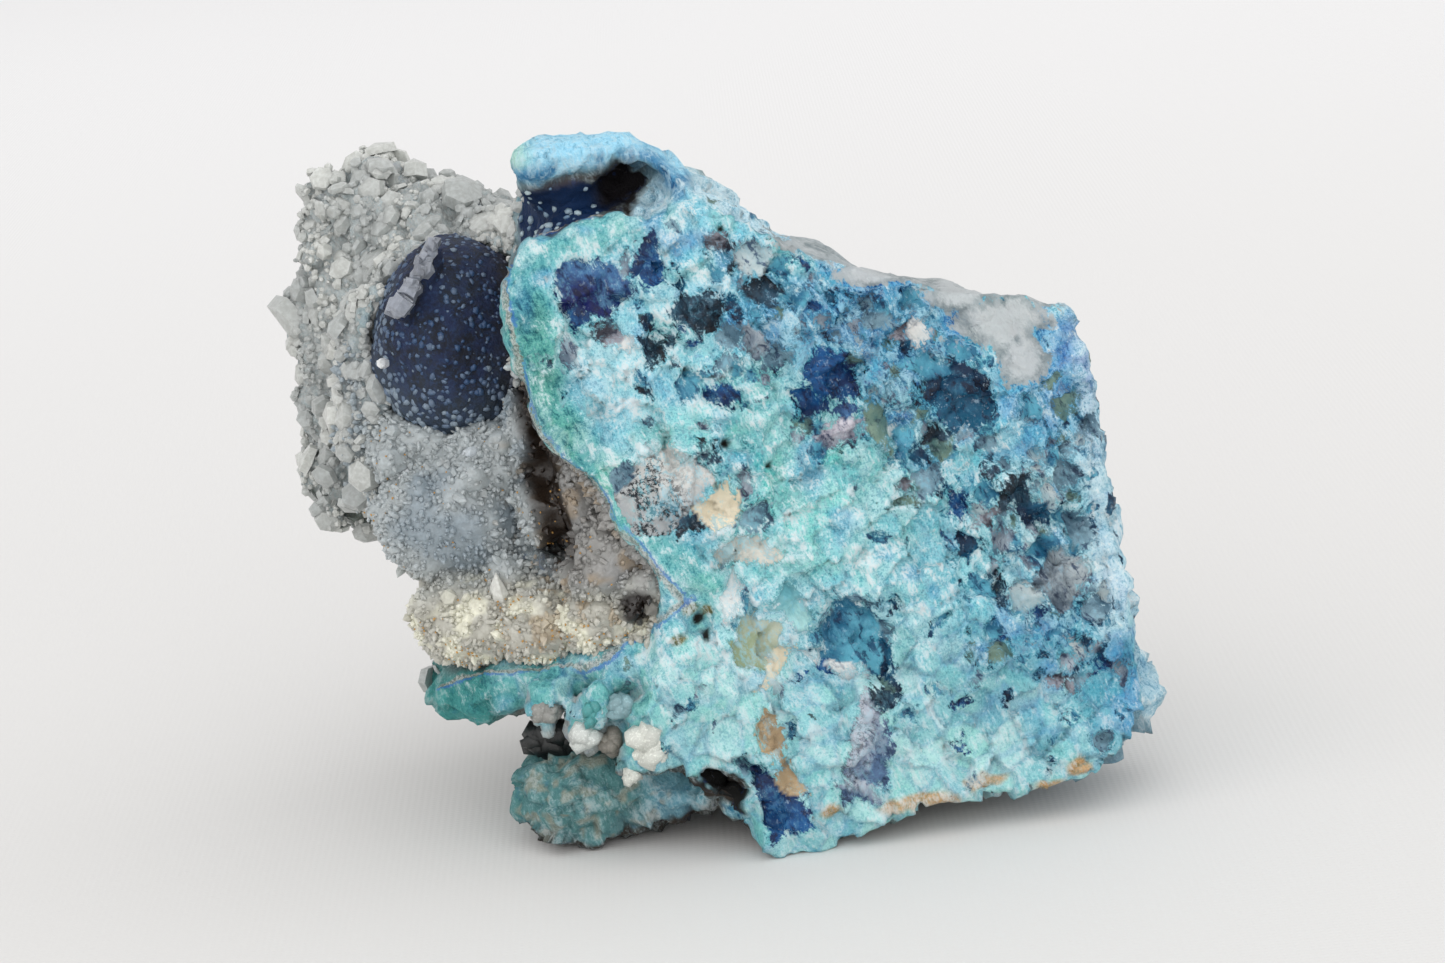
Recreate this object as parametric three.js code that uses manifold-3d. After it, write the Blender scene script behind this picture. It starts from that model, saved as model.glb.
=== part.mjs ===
// A hand-sized shattuckite specimen, in millimetres, +Z up, standing on three worn points.
//
// It is one broken lump of rock, seen from its freshly broken side, which faces -Y:
//   breccia_matrix    the rock itself: a slab of quartz fragments cemented by blue-green chrysocolla,
//                     a hood over a small pocket at its top, a shelf and a rounded lobe at its lower
//                     left, and a rear mass of milky quartz
//   shattuckite_ball  the dark blue ball of fine needles that sits in the open vug at the left
//   vug_druse         the crust of small quartz crystals that lines the vug under and beside the ball
//
// Every form starts as a three.js geometry. Rounded forms are ellipsoids and broken ones are extruded
// outlines. They are joined, their long edges are split, and the surface is moved in and out by noise.
// Crystals keep their flat faces, so they are joined on after that.
import * as THREE from "three";
import { mergeVertices } from "three/addons/utils/BufferGeometryUtils.js";
import Module from "manifold-3d";

const wasm = await Module();
wasm.setup();

// ---------------------------------------------------------------- driving dimensions

const SLAB_THICKNESS = 12.5; // from the broken face to where the slab runs into the rear mass
const SLAB_TOP_DROP = 0.3; // the slab's top falls this much for each millimetre towards the back
const FACE_LEAN = 0.14; // the broken face leans back this much for each millimetre of height
const FACE_SKEW = 0.08; // and this much for each millimetre to the right
const FACE_START = -0.74; // y of the broken face at the floor under x = 0
const FACE_STEP = 2.0; // spacing of the corners across the broken face
const OVERSHOOT = 1.3; // how far the slab stands in front of the broken face before it is broken off

const SEAT_GAP = 0.35; // clearance between a growth and the seat that it sits in
const FLOOR_CUT = 20; // depth of the block that trims the feet flat at z = 0

const LONGEST_EDGE = 3.2; // of a triangle on the rough rock
const SHORTEST_EDGE = 1.7;
const SLIVER = 0.5; // an edge shorter than this, left where two forms were joined, is merged away

const COLOURS = { rock: 0x5fb3bf, shattuckite: 0x1d3566, druse: 0xa9adb0 };

// ---------------------------------------------------------------- noise

// A number from -1 to 1 that depends only on a lattice point and a seed.
function lattice(i, j, k, seed) {
  let h = Math.imul(i, 374761393) ^ Math.imul(j, 668265263) ^ Math.imul(k, 1440662683) ^ Math.imul(seed, 974634777);
  h = Math.imul(h ^ (h >>> 13), 1274126177);
  h = Math.imul(h ^ (h >>> 15), 2246822519);
  return ((h ^ (h >>> 16)) >>> 0) / 2147483647.5 - 1;
}

const smooth = (t) => t * t * (3 - 2 * t);
const mix = (a, b, t) => a + (b - a) * t;

// Smooth noise from -1 to 1 whose hills and hollows are about `grain` millimetres wide.
function noise(point, grain, seed) {
  const [x, y, z] = [point.x / grain, point.y / grain, point.z / grain];
  const [i, j, k] = [Math.floor(x), Math.floor(y), Math.floor(z)];
  const [u, v, w] = [smooth(x - i), smooth(y - j), smooth(z - k)];
  const row = (dj, dk) => mix(lattice(i, j + dj, k + dk, seed), lattice(i + 1, j + dj, k + dk, seed), u);
  return mix(mix(row(0, 0), row(1, 0), v), mix(row(0, 1), row(1, 1), v), w);
}

// ---------------------------------------------------------------- solids and meshes

// A closed geometry with its shared corners merged, so that only position is left.
function merged(geometry) {
  const bare = geometry.index ? geometry.toNonIndexed() : geometry.clone();
  for (const name of Object.keys(bare.attributes)) {
    if (name !== "position") bare.deleteAttribute(name);
  }
  return mergeVertices(bare, 1e-4);
}

function solidOf(geometry) {
  const { attributes, index } = merged(geometry);
  const vertProperties = new Float32Array(attributes.position.array);
  return new wasm.Manifold(new wasm.Mesh({ numProp: 3, vertProperties, triVerts: new Uint32Array(index.array) }));
}

function geometryOf(solid) {
  const mesh = solid.getMesh();
  const corners = new Float32Array(mesh.numVert * 3);
  for (let i = 0; i < mesh.numVert; i += 1) {
    corners.set(mesh.vertProperties.subarray(i * mesh.numProp, i * mesh.numProp + 3), i * 3);
  }
  return new THREE.BufferGeometry()
    .setAttribute("position", new THREE.BufferAttribute(corners, 3))
    .setIndex(new THREE.BufferAttribute(new Uint32Array(mesh.triVerts), 1));
}

const union = (solids) => solids.reduce((whole, next) => whole.add(next));

const cornersOf = (geometry) => {
  const place = geometry.attributes.position;
  return Array.from({ length: place.count }, (_, i) => new THREE.Vector3().fromBufferAttribute(place, i));
};

const facesOf = (geometry) => {
  const { index } = geometry;
  return Array.from({ length: index.count / 3 }, (_, f) => [0, 1, 2].map((c) => index.getX(f * 3 + c)));
};

const meshOf = (points, faces) => new THREE.BufferGeometry().setFromPoints(points).setIndex(faces.flat());

// Splits every edge longer than `longest` at its middle, until none is left. Both triangles that share
// an edge split it at the same point, so a closed surface stays closed.
function splitLongEdges(geometry, longest) {
  const points = cornersOf(geometry);
  let faces = facesOf(geometry);
  for (let split = true; split; ) {
    split = false;
    const middles = new Map();
    const middleOf = (a, b) => {
      if (points[a].distanceTo(points[b]) <= longest) return -1;
      const key = a < b ? `${a} ${b}` : `${b} ${a}`;
      if (!middles.has(key)) {
        middles.set(key, points.length);
        points.push(points[a].clone().add(points[b]).multiplyScalar(0.5));
      }
      split = true;
      return middles.get(key);
    };
    faces = faces.flatMap(([a, b, c]) => {
      const [ab, bc, ca] = [middleOf(a, b), middleOf(b, c), middleOf(c, a)];
      const cut = [ab, bc, ca].filter((m) => m >= 0).length;
      if (cut === 0) return [[a, b, c]];
      if (cut === 3) return [[a, ab, ca], [ab, b, bc], [ca, bc, c], [ab, bc, ca]];
      if (cut === 1) {
        if (ab >= 0) return [[a, ab, c], [ab, b, c]];
        if (bc >= 0) return [[a, b, bc], [a, bc, c]];
        return [[a, b, ca], [ca, b, c]];
      }
      if (ca < 0) return [[ab, b, bc], [a, ab, bc], [a, bc, c]];
      if (ab < 0) return [[bc, c, ca], [b, bc, ca], [b, ca, a]];
      return [[ca, a, ab], [c, ca, ab], [c, ab, b]];
    });
  }
  return meshOf(points, faces);
}

// Merges the two ends of edges shorter than `shortest`, one pass after another. An edge is left alone
// where merging it would pinch the surface or turn a triangle over, so a closed surface stays closed.
function mergeShortEdges(geometry, shortest) {
  const points = cornersOf(geometry);
  let faces = facesOf(geometry);
  const normal = (corners) => new THREE.Triangle(...corners).getNormal(new THREE.Vector3());

  for (let merges = 1; merges > 0; ) {
    merges = 0;
    const around = points.map(() => []);
    faces.forEach((face, f) => face.forEach((corner) => around[corner].push(f)));
    const neighbours = (corner) => new Set(around[corner].flatMap((f) => faces[f]).filter((c) => c !== corner));
    const settled = new Set();
    const gone = new Set();
    for (const [a, b] of faces.flatMap(([p, q, r]) => [[p, q], [q, r], [r, p]])) {
      if (a > b || settled.has(a) || settled.has(b) || points[a].distanceTo(points[b]) >= shortest) continue;
      const [nearA, nearB] = [neighbours(a), neighbours(b)];
      if ([...nearA].filter((c) => nearB.has(c)).length !== 2) continue;
      const middle = points[a].clone().add(points[b]).multiplyScalar(0.5);
      const kept = [...around[a], ...around[b]].filter((f) => !(faces[f].includes(a) && faces[f].includes(b)));
      const turnsOver = kept.some((f) => {
        const before = faces[f].map((c) => points[c]);
        const after = faces[f].map((c) => (c === a || c === b ? middle : points[c]));
        const was = normal(before);
        return was.lengthSq() > 0 && was.dot(normal(after)) < 0.3;
      });
      if (turnsOver) continue;
      for (const f of around[b]) {
        if (faces[f].includes(a)) gone.add(f);
        else faces[f] = faces[f].map((c) => (c === b ? a : c));
      }
      points[a].copy(middle);
      for (const c of [a, b, ...nearA, ...nearB]) settled.add(c);
      merges += 1;
    }
    faces = faces.filter((_, f) => !gone.has(f));
  }
  return merged(meshOf(points, faces));
}

const tidied = (solid) => solidOf(mergeShortEdges(geometryOf(solid), SLIVER));

// Wears the surface down: each corner moves towards the mean of its neighbours, and then back out by a
// little more, so that edges round off and thin parts keep their thickness.
function worn(geometry, passes) {
  const points = cornersOf(geometry);
  const near = points.map(() => new Set());
  for (const [a, b, c] of facesOf(geometry)) {
    near[a].add(b).add(c);
    near[b].add(a).add(c);
    near[c].add(a).add(b);
  }
  for (let pass = 0; pass < passes; pass += 1) {
    for (const share of [0.5, -0.5]) {
      const means = points.map((_, i) => {
        const mean = new THREE.Vector3();
        for (const other of near[i]) mean.addScaledVector(points[other], 1 / near[i].size);
        return mean;
      });
      points.forEach((point, i) => point.lerp(means[i], share));
    }
  }
  return meshOf(points, facesOf(geometry));
}

// Moves each corner out along its normal by `swell` and by two sizes of noise, broad first and then fine.
function roughened(geometry, { swell, broad, fine, broadGrain = 5.5, fineGrain = 2.4, seed = 1 }) {
  const rough = geometry.clone();
  rough.computeVertexNormals();
  const place = rough.attributes.position;
  const point = new THREE.Vector3();
  const normal = new THREE.Vector3();
  for (let i = 0; i < place.count; i += 1) {
    point.fromBufferAttribute(place, i);
    normal.fromBufferAttribute(rough.attributes.normal, i);
    const lift = broad * noise(point, broadGrain, seed) + fine * noise(point, fineGrain, seed + 7);
    point.addScaledVector(normal, swell + lift);
    place.setXYZ(i, point.x, point.y, point.z);
  }
  return rough;
}

// A rounded form: an ellipsoid whose surface swells and sinks by `bumps` millimetres. `grow` lifts the
// whole of that same surface, which makes the seat for it.
function lump({ at, radii, detail = 4, bumps = 0, bumpGrain = 2.5, seed = 1, grow = 0, turn = [0, 0, 0] }) {
  const ball = merged(new THREE.IcosahedronGeometry(1, detail));
  const place = ball.attributes.position;
  const size = new THREE.Vector3(...radii);
  const centre = new THREE.Vector3(...at);
  const spin = new THREE.Euler(...turn.map(THREE.MathUtils.degToRad));
  const point = new THREE.Vector3();
  const outward = new THREE.Vector3();
  for (let i = 0; i < place.count; i += 1) {
    outward.fromBufferAttribute(place, i);
    point.copy(outward).multiply(size);
    outward.divide(size).normalize();
    point.addScaledVector(outward, grow + bumps * noise(point.clone().add(centre), bumpGrain, seed));
    point.applyEuler(spin).add(centre);
    place.setXYZ(i, point.x, point.y, point.z);
  }
  return solidOf(ball);
}

// A six-sided quartz crystal with a blunt root and a pointed tip, `length` long, growing from `root`.
// `grow` makes it larger all round, which makes the seat for it.
function crystal({ root, toward, length, radius, tip = 0.35, grow = 0 }) {
  const girth = radius + grow * 1.2;
  const profile = [[0, -grow], [girth, -grow], [girth, length * (1 - tip) + grow], [0, length + grow * 2]];
  const prism = new THREE.LatheGeometry(profile.map(([r, y]) => new THREE.Vector2(r, y)), 6);
  const along = new THREE.Vector3(...toward).normalize();
  prism.applyQuaternion(new THREE.Quaternion().setFromUnitVectors(new THREE.Vector3(0, 1, 0), along));
  prism.translate(...root);
  return solidOf(prism);
}

// Small crystals spread over the outer side of a rounded form. They follow a golden-angle spiral, and
// only those that point towards `facing` are grown.
function crystalsOn({ at, radii }, { count, facing, radius, length, seed = 1, grow = 0 }) {
  const goldenAngle = Math.PI * (3 - Math.sqrt(5));
  const wanted = new THREE.Vector3(...facing).normalize();
  const grown = [];
  for (let i = 0; i < count; i += 1) {
    const up = 1 - (2 * i + 1) / count;
    const across = Math.sqrt(1 - up * up);
    const outward = new THREE.Vector3(across * Math.cos(i * goldenAngle), across * Math.sin(i * goldenAngle), up);
    if (outward.dot(wanted) < 0.35) continue;
    const size = 1 + 0.35 * lattice(i, 1, 2, seed);
    const lean = [3, 4, 5].map((k) => 0.35 * lattice(i, k, k, seed));
    const root = outward.clone().multiply(new THREE.Vector3(...radii)).multiplyScalar(0.8);
    grown.push(
      crystal({
        root: root.add(new THREE.Vector3(...at)).toArray(),
        toward: outward.toArray().map((v, k) => v + lean[k]),
        length: Math.min(...radii) * 0.2 + length * size,
        radius: radius * size,
        grow,
      }),
    );
  }
  return union(grown);
}

// A plate with the given outline in X and Z. Its front follows `front(x, z)` and it runs back from there
// by `thickness`, where its outline has shrunk towards `centre` by `taper` and dropped by `drop`.
function plate({ outline, front, thickness, taper = 0, drop = 0, centre = [0, 0] }) {
  const shape = new THREE.Shape(outline.map(([x, z]) => new THREE.Vector2(x, z)));
  const block = new THREE.ExtrudeGeometry(shape, { depth: 1, bevelEnabled: false });
  const place = block.attributes.position;
  for (let i = 0; i < place.count; i += 1) {
    const [x, z, back] = [place.getX(i), place.getY(i), 1 - place.getZ(i)];
    const share = 1 - taper * back;
    place.setXYZ(
      i,
      centre[0] + (x - centre[0]) * share,
      front(x, z) + thickness * back,
      centre[1] + (z - centre[1]) * share - drop * back * (z / 40),
    );
  }
  return solidOf(block);
}

// ---------------------------------------------------------------- the broken face

// Hollows in the broken face: middle and half-widths along x and z, and depth.
const FACE_HOLLOWS = [
  { x: 6.8, z: 12.0, wide: 3.6, high: 2.8, deep: 2.2 },
  { x: 16.5, z: 6.0, wide: 6.0, high: 3.6, deep: 1.3 },
  { x: 17.0, z: 29.6, wide: 4.6, high: 2.2, deep: 0.9 },
  { x: 2.2, z: 12.4, wide: 1.8, high: 2.2, deep: 0.9 },
  { x: -2.1, z: 13.8, wide: 0.9, high: 1.2, deep: 1.6 },
  { x: 11.5, z: 17.5, wide: 3.0, high: 2.0, deep: 0.7 },
  { x: 1.4, z: 7.4, wide: 1.4, high: 2.2, deep: 1.0 },
  { x: 21.5, z: 20.0, wide: 2.4, high: 9.0, deep: 1.6 },
];

const facePlane = (x, z) => FACE_START + FACE_LEAN * z + FACE_SKEW * x;

// y of the broken face at a given place: a leaning plane with hollows and two sizes of noise.
function brokenFace(x, z) {
  const hollows = FACE_HOLLOWS.map(
    (hollow) => hollow.deep * Math.exp(-(((x - hollow.x) / hollow.wide) ** 2) - ((z - hollow.z) / hollow.high) ** 2),
  );
  const rough = 0.5 * noise({ x, y: 0, z }, 5.2, 11) + 0.3 * noise({ x, y: 0, z }, 2.1, 12);
  return facePlane(x, z) + rough + hollows.reduce((sum, depth) => sum + depth);
}

// Everything in front of the broken face: a block whose rear side has the face's shape.
function inFront() {
  const [wide, high, deep] = [64, 60, 30];
  const block = new THREE.BoxGeometry(wide, deep, high, Math.round(wide / FACE_STEP), 1, Math.round(high / FACE_STEP));
  const place = block.attributes.position;
  for (let i = 0; i < place.count; i += 1) {
    const grid = { x: place.getX(i), y: 0, z: place.getZ(i) + high / 2 - 5 };
    const x = grid.x + 0.7 * noise(grid, FACE_STEP, 13);
    const z = grid.z + 0.7 * noise(grid, FACE_STEP, 14);
    place.setXYZ(i, x, place.getY(i) > 0 ? brokenFace(x, z) : -deep, z);
  }
  return solidOf(block);
}

// Glassy fragments of quartz in the broken face: middle, half-widths along x and z, and turn in degrees.
const FRAGMENTS = [
  { x: -6.2, z: 34.2, wide: 2.0, high: 2.0, turn: 20 },
  { x: -3.2, z: 35.2, wide: 1.1, high: 1.9, turn: -10 },
  { x: -0.3, z: 32.3, wide: 1.8, high: 1.7, turn: 35 },
  { x: 3.1, z: 33.9, wide: 1.6, high: 1.4, turn: 0 },
  { x: -3.4, z: 30.6, wide: 0.9, high: 1.1, turn: 10 },
  { x: 6.5, z: 27.6, wide: 1.8, high: 2.5, turn: -20 },
  { x: 7.1, z: 24.0, wide: 1.4, high: 1.2, turn: 5 },
  { x: 9.7, z: 24.6, wide: 0.9, high: 1.9, turn: 15 },
  { x: 14.2, z: 25.4, wide: 2.7, high: 2.4, turn: -15 },
  { x: -3.3, z: 22.0, wide: 3.2, high: 2.7, turn: 25 },
  { x: 0.7, z: 18.1, wide: 1.5, high: 1.2, turn: 10 },
  { x: 16.1, z: 19.9, wide: 2.5, high: 1.8, turn: 30 },
  { x: 19.4, z: 13.4, wide: 2.9, high: 2.8, turn: -25 },
  { x: 6.8, z: 5.9, wide: 1.9, high: 3.0, turn: -18 },
];

function fragment({ x, z, wide, high, turn }) {
  const chip = merged(new THREE.DodecahedronGeometry(1));
  chip.rotateY(THREE.MathUtils.degToRad(turn * 3)).scale(wide, 1.3, high);
  chip.rotateY(THREE.MathUtils.degToRad(turn)).rotateX(THREE.MathUtils.degToRad(turn / 3));
  return solidOf(chip.translate(x, brokenFace(x, z) + 0.8, z));
}

// ---------------------------------------------------------------- the rock

// The broken slab, clockwise from the left end of the arc under the hood. The left side is where the
// vug opens, and the notch at the lower left is where the shelf and the lobe begin.
const SLAB_OUTLINE = [
  [-11.4, 34.6], [-11.1, 36.0], [-10.4, 37.0], [-8.8, 37.8], [-7.0, 38.3], [-4.9, 38.6], [-3.0, 38.2],
  [-2.4, 39.0], [-1.9, 40.6], [-0.2, 39.7], [1.4, 38.1], [3.4, 36.2], [5.2, 35.7], [7.5, 34.7],
  [9.8, 34.1], [12.0, 32.9], [14.2, 31.9], [17.1, 31.1], [20.0, 30.7], [21.6, 29.7], [21.9, 25.1],
  [21.6, 19.9], [22.1, 15.1], [23.0, 10.3], [23.2, 4.6], [21.8, 3.3], [19.3, 2.3], [14.5, 1.8],
  [8.5, 1.7], [6.3, 0.6], [2.4, -1.2], [0.6, 0.4], [0.2, 4.2], [-1.4, 5.6], [-4.6, 5.3], [-6.4, 6.6],
  [-6.6, 8.0], [-5.4, 10.0], [-4.4, 12.6], [-2.8, 15.7], [-4.1, 17.6], [-5.1, 19.2], [-6.4, 20.8],
  [-7.1, 22.6], [-8.7, 24.5], [-9.9, 26.4], [-10.9, 28.3], [-10.8, 31.1],
];

function slab() {
  return plate({
    outline: SLAB_OUTLINE,
    front: (x, z) => facePlane(x, z) - OVERSHOOT,
    thickness: SLAB_THICKNESS + OVERSHOOT,
    taper: 0.12,
    drop: SLAB_THICKNESS * SLAB_TOP_DROP,
    centre: [4, 14],
  });
}

// The dome inside the arc: its front is broken off flush with the slab, and its dark skin runs back.
function dome() {
  return lump({ at: [-5.8, 8.2, 33.0], radii: [5.3, 6.4, 5.2], seed: 35 });
}

// The hood: a ribbon of crust that arches over the dome and comes down on it at the back and the right.
const HOOD_OUTLINE = [
  [-10.9, 43.7], [-9.1, 43.2], [-7.2, 43.1], [-4.6, 43.7], [-2.6, 43.1], [-1.0, 41.6], [0.0, 39.8],
  [-1.4, 38.6], [-2.7, 40.2], [-4.2, 41.2], [-5.8, 40.6], [-7.9, 40.2], [-10.7, 39.8], [-11.3, 42.0],
];

function hood() {
  const ribbon = plate({
    outline: HOOD_OUTLINE,
    front: (x, z) => facePlane(x, z) + 1.1,
    thickness: 8.5,
    drop: 3.0,
  });
  const back = [
    { at: [-6.6, 13.6, 36.6], radii: [4.6, 2.8, 3.6], seed: 36 },
    { at: [-1.4, 12.6, 36.0], radii: [3.6, 4.2, 3.2], seed: 37 },
    { at: [1.0, 9.6, 36.2], radii: [3.0, 3.6, 1.9], seed: 38 },
  ];
  return union([ribbon, ...back.map(lump)]);
}

// The dark pocket between the dome and the hood: a hollow at the right end of the slit between them.
function pocket() {
  return union([
    lump({ at: [-3.5, 6.4, 39.2], radii: [1.9, 4.4, 1.3], detail: 3, turn: [8, 0, 20] }),
    lump({ at: [-2.8, 5.2, 38.6], radii: [0.8, 3.6, 1.3], detail: 2 }),
  ]);
}

// The shelf: the crust again, from the slab back to the left, carrying the lower part of the vug.
const SHELF_OUTLINE = [
  [-2.4, 15.6], [-5.0, 14.1], [-7.0, 12.6], [-8.9, 11.3], [-10.7, 11.5], [-14.3, 11.1], [-18.4, 11.2],
  [-20.6, 9.2], [-19.0, 7.4], [-15.4, 8.2], [-11.5, 9.0], [-9.4, 8.9], [-7.2, 9.4], [-4.6, 11.6],
  [-2.6, 12.6],
];

function shelf() {
  const ribbon = plate({
    outline: SHELF_OUTLINE,
    front: (x) => 0.2 - 0.42 * (x + 2),
    thickness: 8,
    taper: 0.1,
    centre: [-10, 11],
  });
  return union([
    ribbon,
    lump({ at: [-13.8, 11.8, 9.6], radii: [4.4, 4.6, 2.0], seed: 42 }),
    lump({ at: [-18.6, 10.4, 8.9], radii: [2.0, 3.0, 2.1], seed: 43, detail: 3 }),
  ]);
}

// The lobe is a rounded turquoise lump at the floor. A thin arched shell joins it to the slab's corner.
const ARCH_OUTLINE = [
  [2.6, -1.0], [1.2, 1.6], [-0.4, 3.6], [-2.4, 4.6], [-4.6, 5.0], [-7.2, 5.0], [-7.4, 0.6], [-4.4, 0.8],
  [-3.4, 2.4], [-2.4, 3.1], [-1.2, 2.6], [0.2, 1.2], [1.2, -1.0],
];

function lobe() {
  return union([
    lump({ at: [-9.4, 7.2, 3.0], radii: [5.4, 4.8, 3.3], seed: 45 }),
    lump({ at: [-5.4, 12.2, 4.0], radii: [6.5, 4.6, 3.6], seed: 46 }),
    plate({ outline: ARCH_OUTLINE, front: (x, z) => 0.2 + 0.05 * z - 0.42 * Math.min(x, 0), thickness: 6.5 }),
  ]);
}

// The narrow dark gap between the slab's lower edge and the arched shell.
function archGap() {
  return lump({ at: [-1.6, 0.6, 4.6], radii: [2.4, 3.4, 0.6], detail: 2, turn: [0, 30, 0] });
}

// Knobs of crust on the slab's right side and top.
const SIDE_KNOBS = [
  { at: [23.0, 9.0, 5.0], radii: [2.9, 3.2, 2.8] },
  { at: [20.9, 8.0, 17.5], radii: [2.1, 3.6, 4.8] },
  { at: [21.8, 7.2, 10.6], radii: [2.1, 3.6, 3.6] },
  { at: [20.0, 9.6, 25.6], radii: [2.3, 3.6, 3.4] },
  { at: [13.0, 11.0, 29.0], radii: [5.0, 4.0, 2.6] },
  { at: [6.0, 11.0, 31.4], radii: [4.2, 4.4, 2.8] },
  { at: [16.0, 9.0, 3.8], radii: [4.2, 4.6, 2.6] },
];

// What stands between the slab and the rear mass: the vug's back and its right wall.
const CORE_LUMPS = [
  { at: [1.0, 12.0, 18.5], radii: [13.0, 8.5, 15.5] },
  { at: [-9.0, 15.0, 14.5], radii: [7.5, 7.0, 8.0] },
  { at: [-10.5, 17.5, 27.5], radii: [7.5, 6.0, 8.5] },
  { at: [-13.8, 20.0, 20.0], radii: [6.5, 6.0, 7.0] },
];

// The rear mass of milky quartz, broken along flat faces at the back.
const REAR_OUTLINE = [
  [-20.5, 18.0], [-23.0, 24.0], [-22.5, 32.0], [-17.0, 35.5], [-8.0, 34.0], [-1.0, 31.5], [7.0, 28.0],
  [15.0, 23.5], [19.0, 17.0], [19.5, 9.0], [17.0, 3.5], [12.0, 1.2], [4.0, 2.0], [-4.0, 3.0],
  [-10.0, 7.0], [-16.0, 12.0],
];

// Its upper left is a cluster of rounded lumps that small quartz crystals cover.
const QUARTZ_LUMPS = [
  { at: [-20.4, 25.6, 32.0], radii: [4.9, 6.0, 6.4] },
  { at: [-21.4, 25.6, 22.8], radii: [4.4, 6.0, 6.8] },
  { at: [-19.6, 26.0, 37.0], radii: [3.4, 4.2, 2.8] },
  { at: [-15.8, 22.8, 34.4], radii: [3.8, 5.0, 3.4] },
  { at: [-12.2, 20.6, 33.2], radii: [4.4, 5.4, 3.2] },
  { at: [-22.8, 24.2, 35.4], radii: [2.4, 2.8, 2.8] },
  { at: [-24.0, 24.0, 27.8], radii: [2.2, 3.0, 3.0] },
  { at: [-23.4, 24.0, 18.8], radii: [2.6, 3.2, 3.4] },
  { at: [-20.0, 20.8, 27.0], radii: [3.4, 3.2, 4.2] },
  { at: [-21.0, 21.2, 20.4], radii: [3.0, 2.8, 3.2] },
];

const REAR_LUMPS = [
  { at: [3.0, 27.8, 20.0], radii: [9.0, 5.0, 8.0] },
  { at: [-9.0, 27.0, 14.0], radii: [7.0, 5.0, 7.0] },
  { at: [-15.0, 25.0, 20.0], radii: [7.0, 6.0, 9.0] },
  { at: [13.0, 25.0, 11.0], radii: [5.5, 4.8, 6.0] },
  { at: [12.4, 21.6, 3.8], radii: [6.0, 6.2, 5.0] },
  { at: [4.4, 22.8, 4.4], radii: [8.0, 5.6, 5.4] },
  { at: [-4.0, 23.6, 4.0], radii: [6.8, 5.6, 5.2] },
];

// Flat breaks that trim the back: a point on each and the direction that it faces.
const REAR_BREAKS = [
  { at: [6.0, 30.2, 22.0], facing: [0.25, 1, 0.42] },
  { at: [-10.0, 31.0, 20.0], facing: [-0.22, 1, -0.1] },
  { at: [17.8, 22.5, 12.0], facing: [1, 0.55, -0.1] },
  { at: [4.0, 28.6, 6.0], facing: [0.1, 1, -0.5] },
];

function behind({ at, facing }) {
  const block = new THREE.BoxGeometry(80, 80, 30).translate(0, 0, 15);
  const outward = new THREE.Vector3(...facing).normalize();
  block.applyQuaternion(new THREE.Quaternion().setFromUnitVectors(new THREE.Vector3(0, 0, 1), outward));
  return solidOf(block.translate(...at));
}

function rearMass() {
  const block = plate({ outline: REAR_OUTLINE, front: () => 13.5, thickness: 15.5, taper: 0.24, centre: [-3, 20] });
  return union([block, ...[...QUARTZ_LUMPS, ...REAR_LUMPS].map(lump)]).subtract(union(REAR_BREAKS.map(behind)));
}

// The quartz that hangs into the dark gap between the shelf and the lobe, and one turquoise finger.
const HANGING_CRYSTALS = [
  { root: [-5.7, 1.9, 9.6], toward: [-0.05, -0.22, -1], length: 4.5, radius: 1.45, tip: 0.12 },
  { root: [-9.0, 3.2, 9.6], toward: [-0.25, -0.2, -1], length: 3.4, radius: 1.3, tip: 0.3 },
  { root: [-11.4, 4.8, 10.4], toward: [-0.1, -0.2, -1], length: 3.0, radius: 1.3, tip: 0.55 },
  { root: [-7.6, 3.0, 9.2], toward: [0.1, 0.1, -1], length: 2.8, radius: 1.0, tip: 0.4 },
  { root: [-8.6, 2.2, 11.0], toward: [0.05, -0.2, -1], length: 3.2, radius: 0.75, tip: 0.3 },
  { root: [-7.1, 1.6, 7.1], toward: [-0.2, -0.3, -1], length: 1.9, radius: 0.9, tip: 0.3 },
];

// ---------------------------------------------------------------- the growths in the vug

const BALL = { at: [-15.1, 14.2, 29.6], radii: [5.0, 5.1, 6.1], detail: 5, bumps: 0.45, bumpGrain: 2.6, seed: 61 };

// The pale blade of quartz that lies against the upper left of the ball.
const BLADE = { root: [-18.3, 9.9, 32.4], toward: [0.62, 0.26, 0.74], length: 4.9, radius: 0.95 };

// Grey lumps below the ball, the ones on the vug's right wall, and the pale ledge on the shelf.
const DRUSE_LUMPS = [
  { at: [-16.2, 12.0, 19.6], radii: [4.5, 4.6, 4.4], seed: 71 },
  { at: [-18.0, 13.8, 23.4], radii: [3.0, 3.6, 2.8], seed: 72 },
  { at: [-13.2, 11.6, 23.0], radii: [3.0, 3.4, 2.4], seed: 73 },
  { at: [-9.2, 8.4, 20.6], radii: [2.6, 4.0, 3.2], seed: 74 },
  { at: [-7.4, 6.2, 17.6], radii: [2.5, 3.8, 2.6], seed: 75 },
  { at: [-5.2, 4.9, 15.8], radii: [2.0, 3.0, 1.5], seed: 79 },
  { at: [-15.5, 9.4, 13.9], radii: [3.8, 3.8, 2.5], seed: 76 },
  { at: [-11.6, 8.2, 13.7], radii: [3.3, 4.0, 2.4], seed: 77 },
  { at: [-8.0, 6.4, 13.9], radii: [2.8, 3.6, 1.9], seed: 80 },
  { at: [-10.2, 9.4, 25.2], radii: [1.9, 4.2, 3.2], seed: 78 },
];

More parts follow.
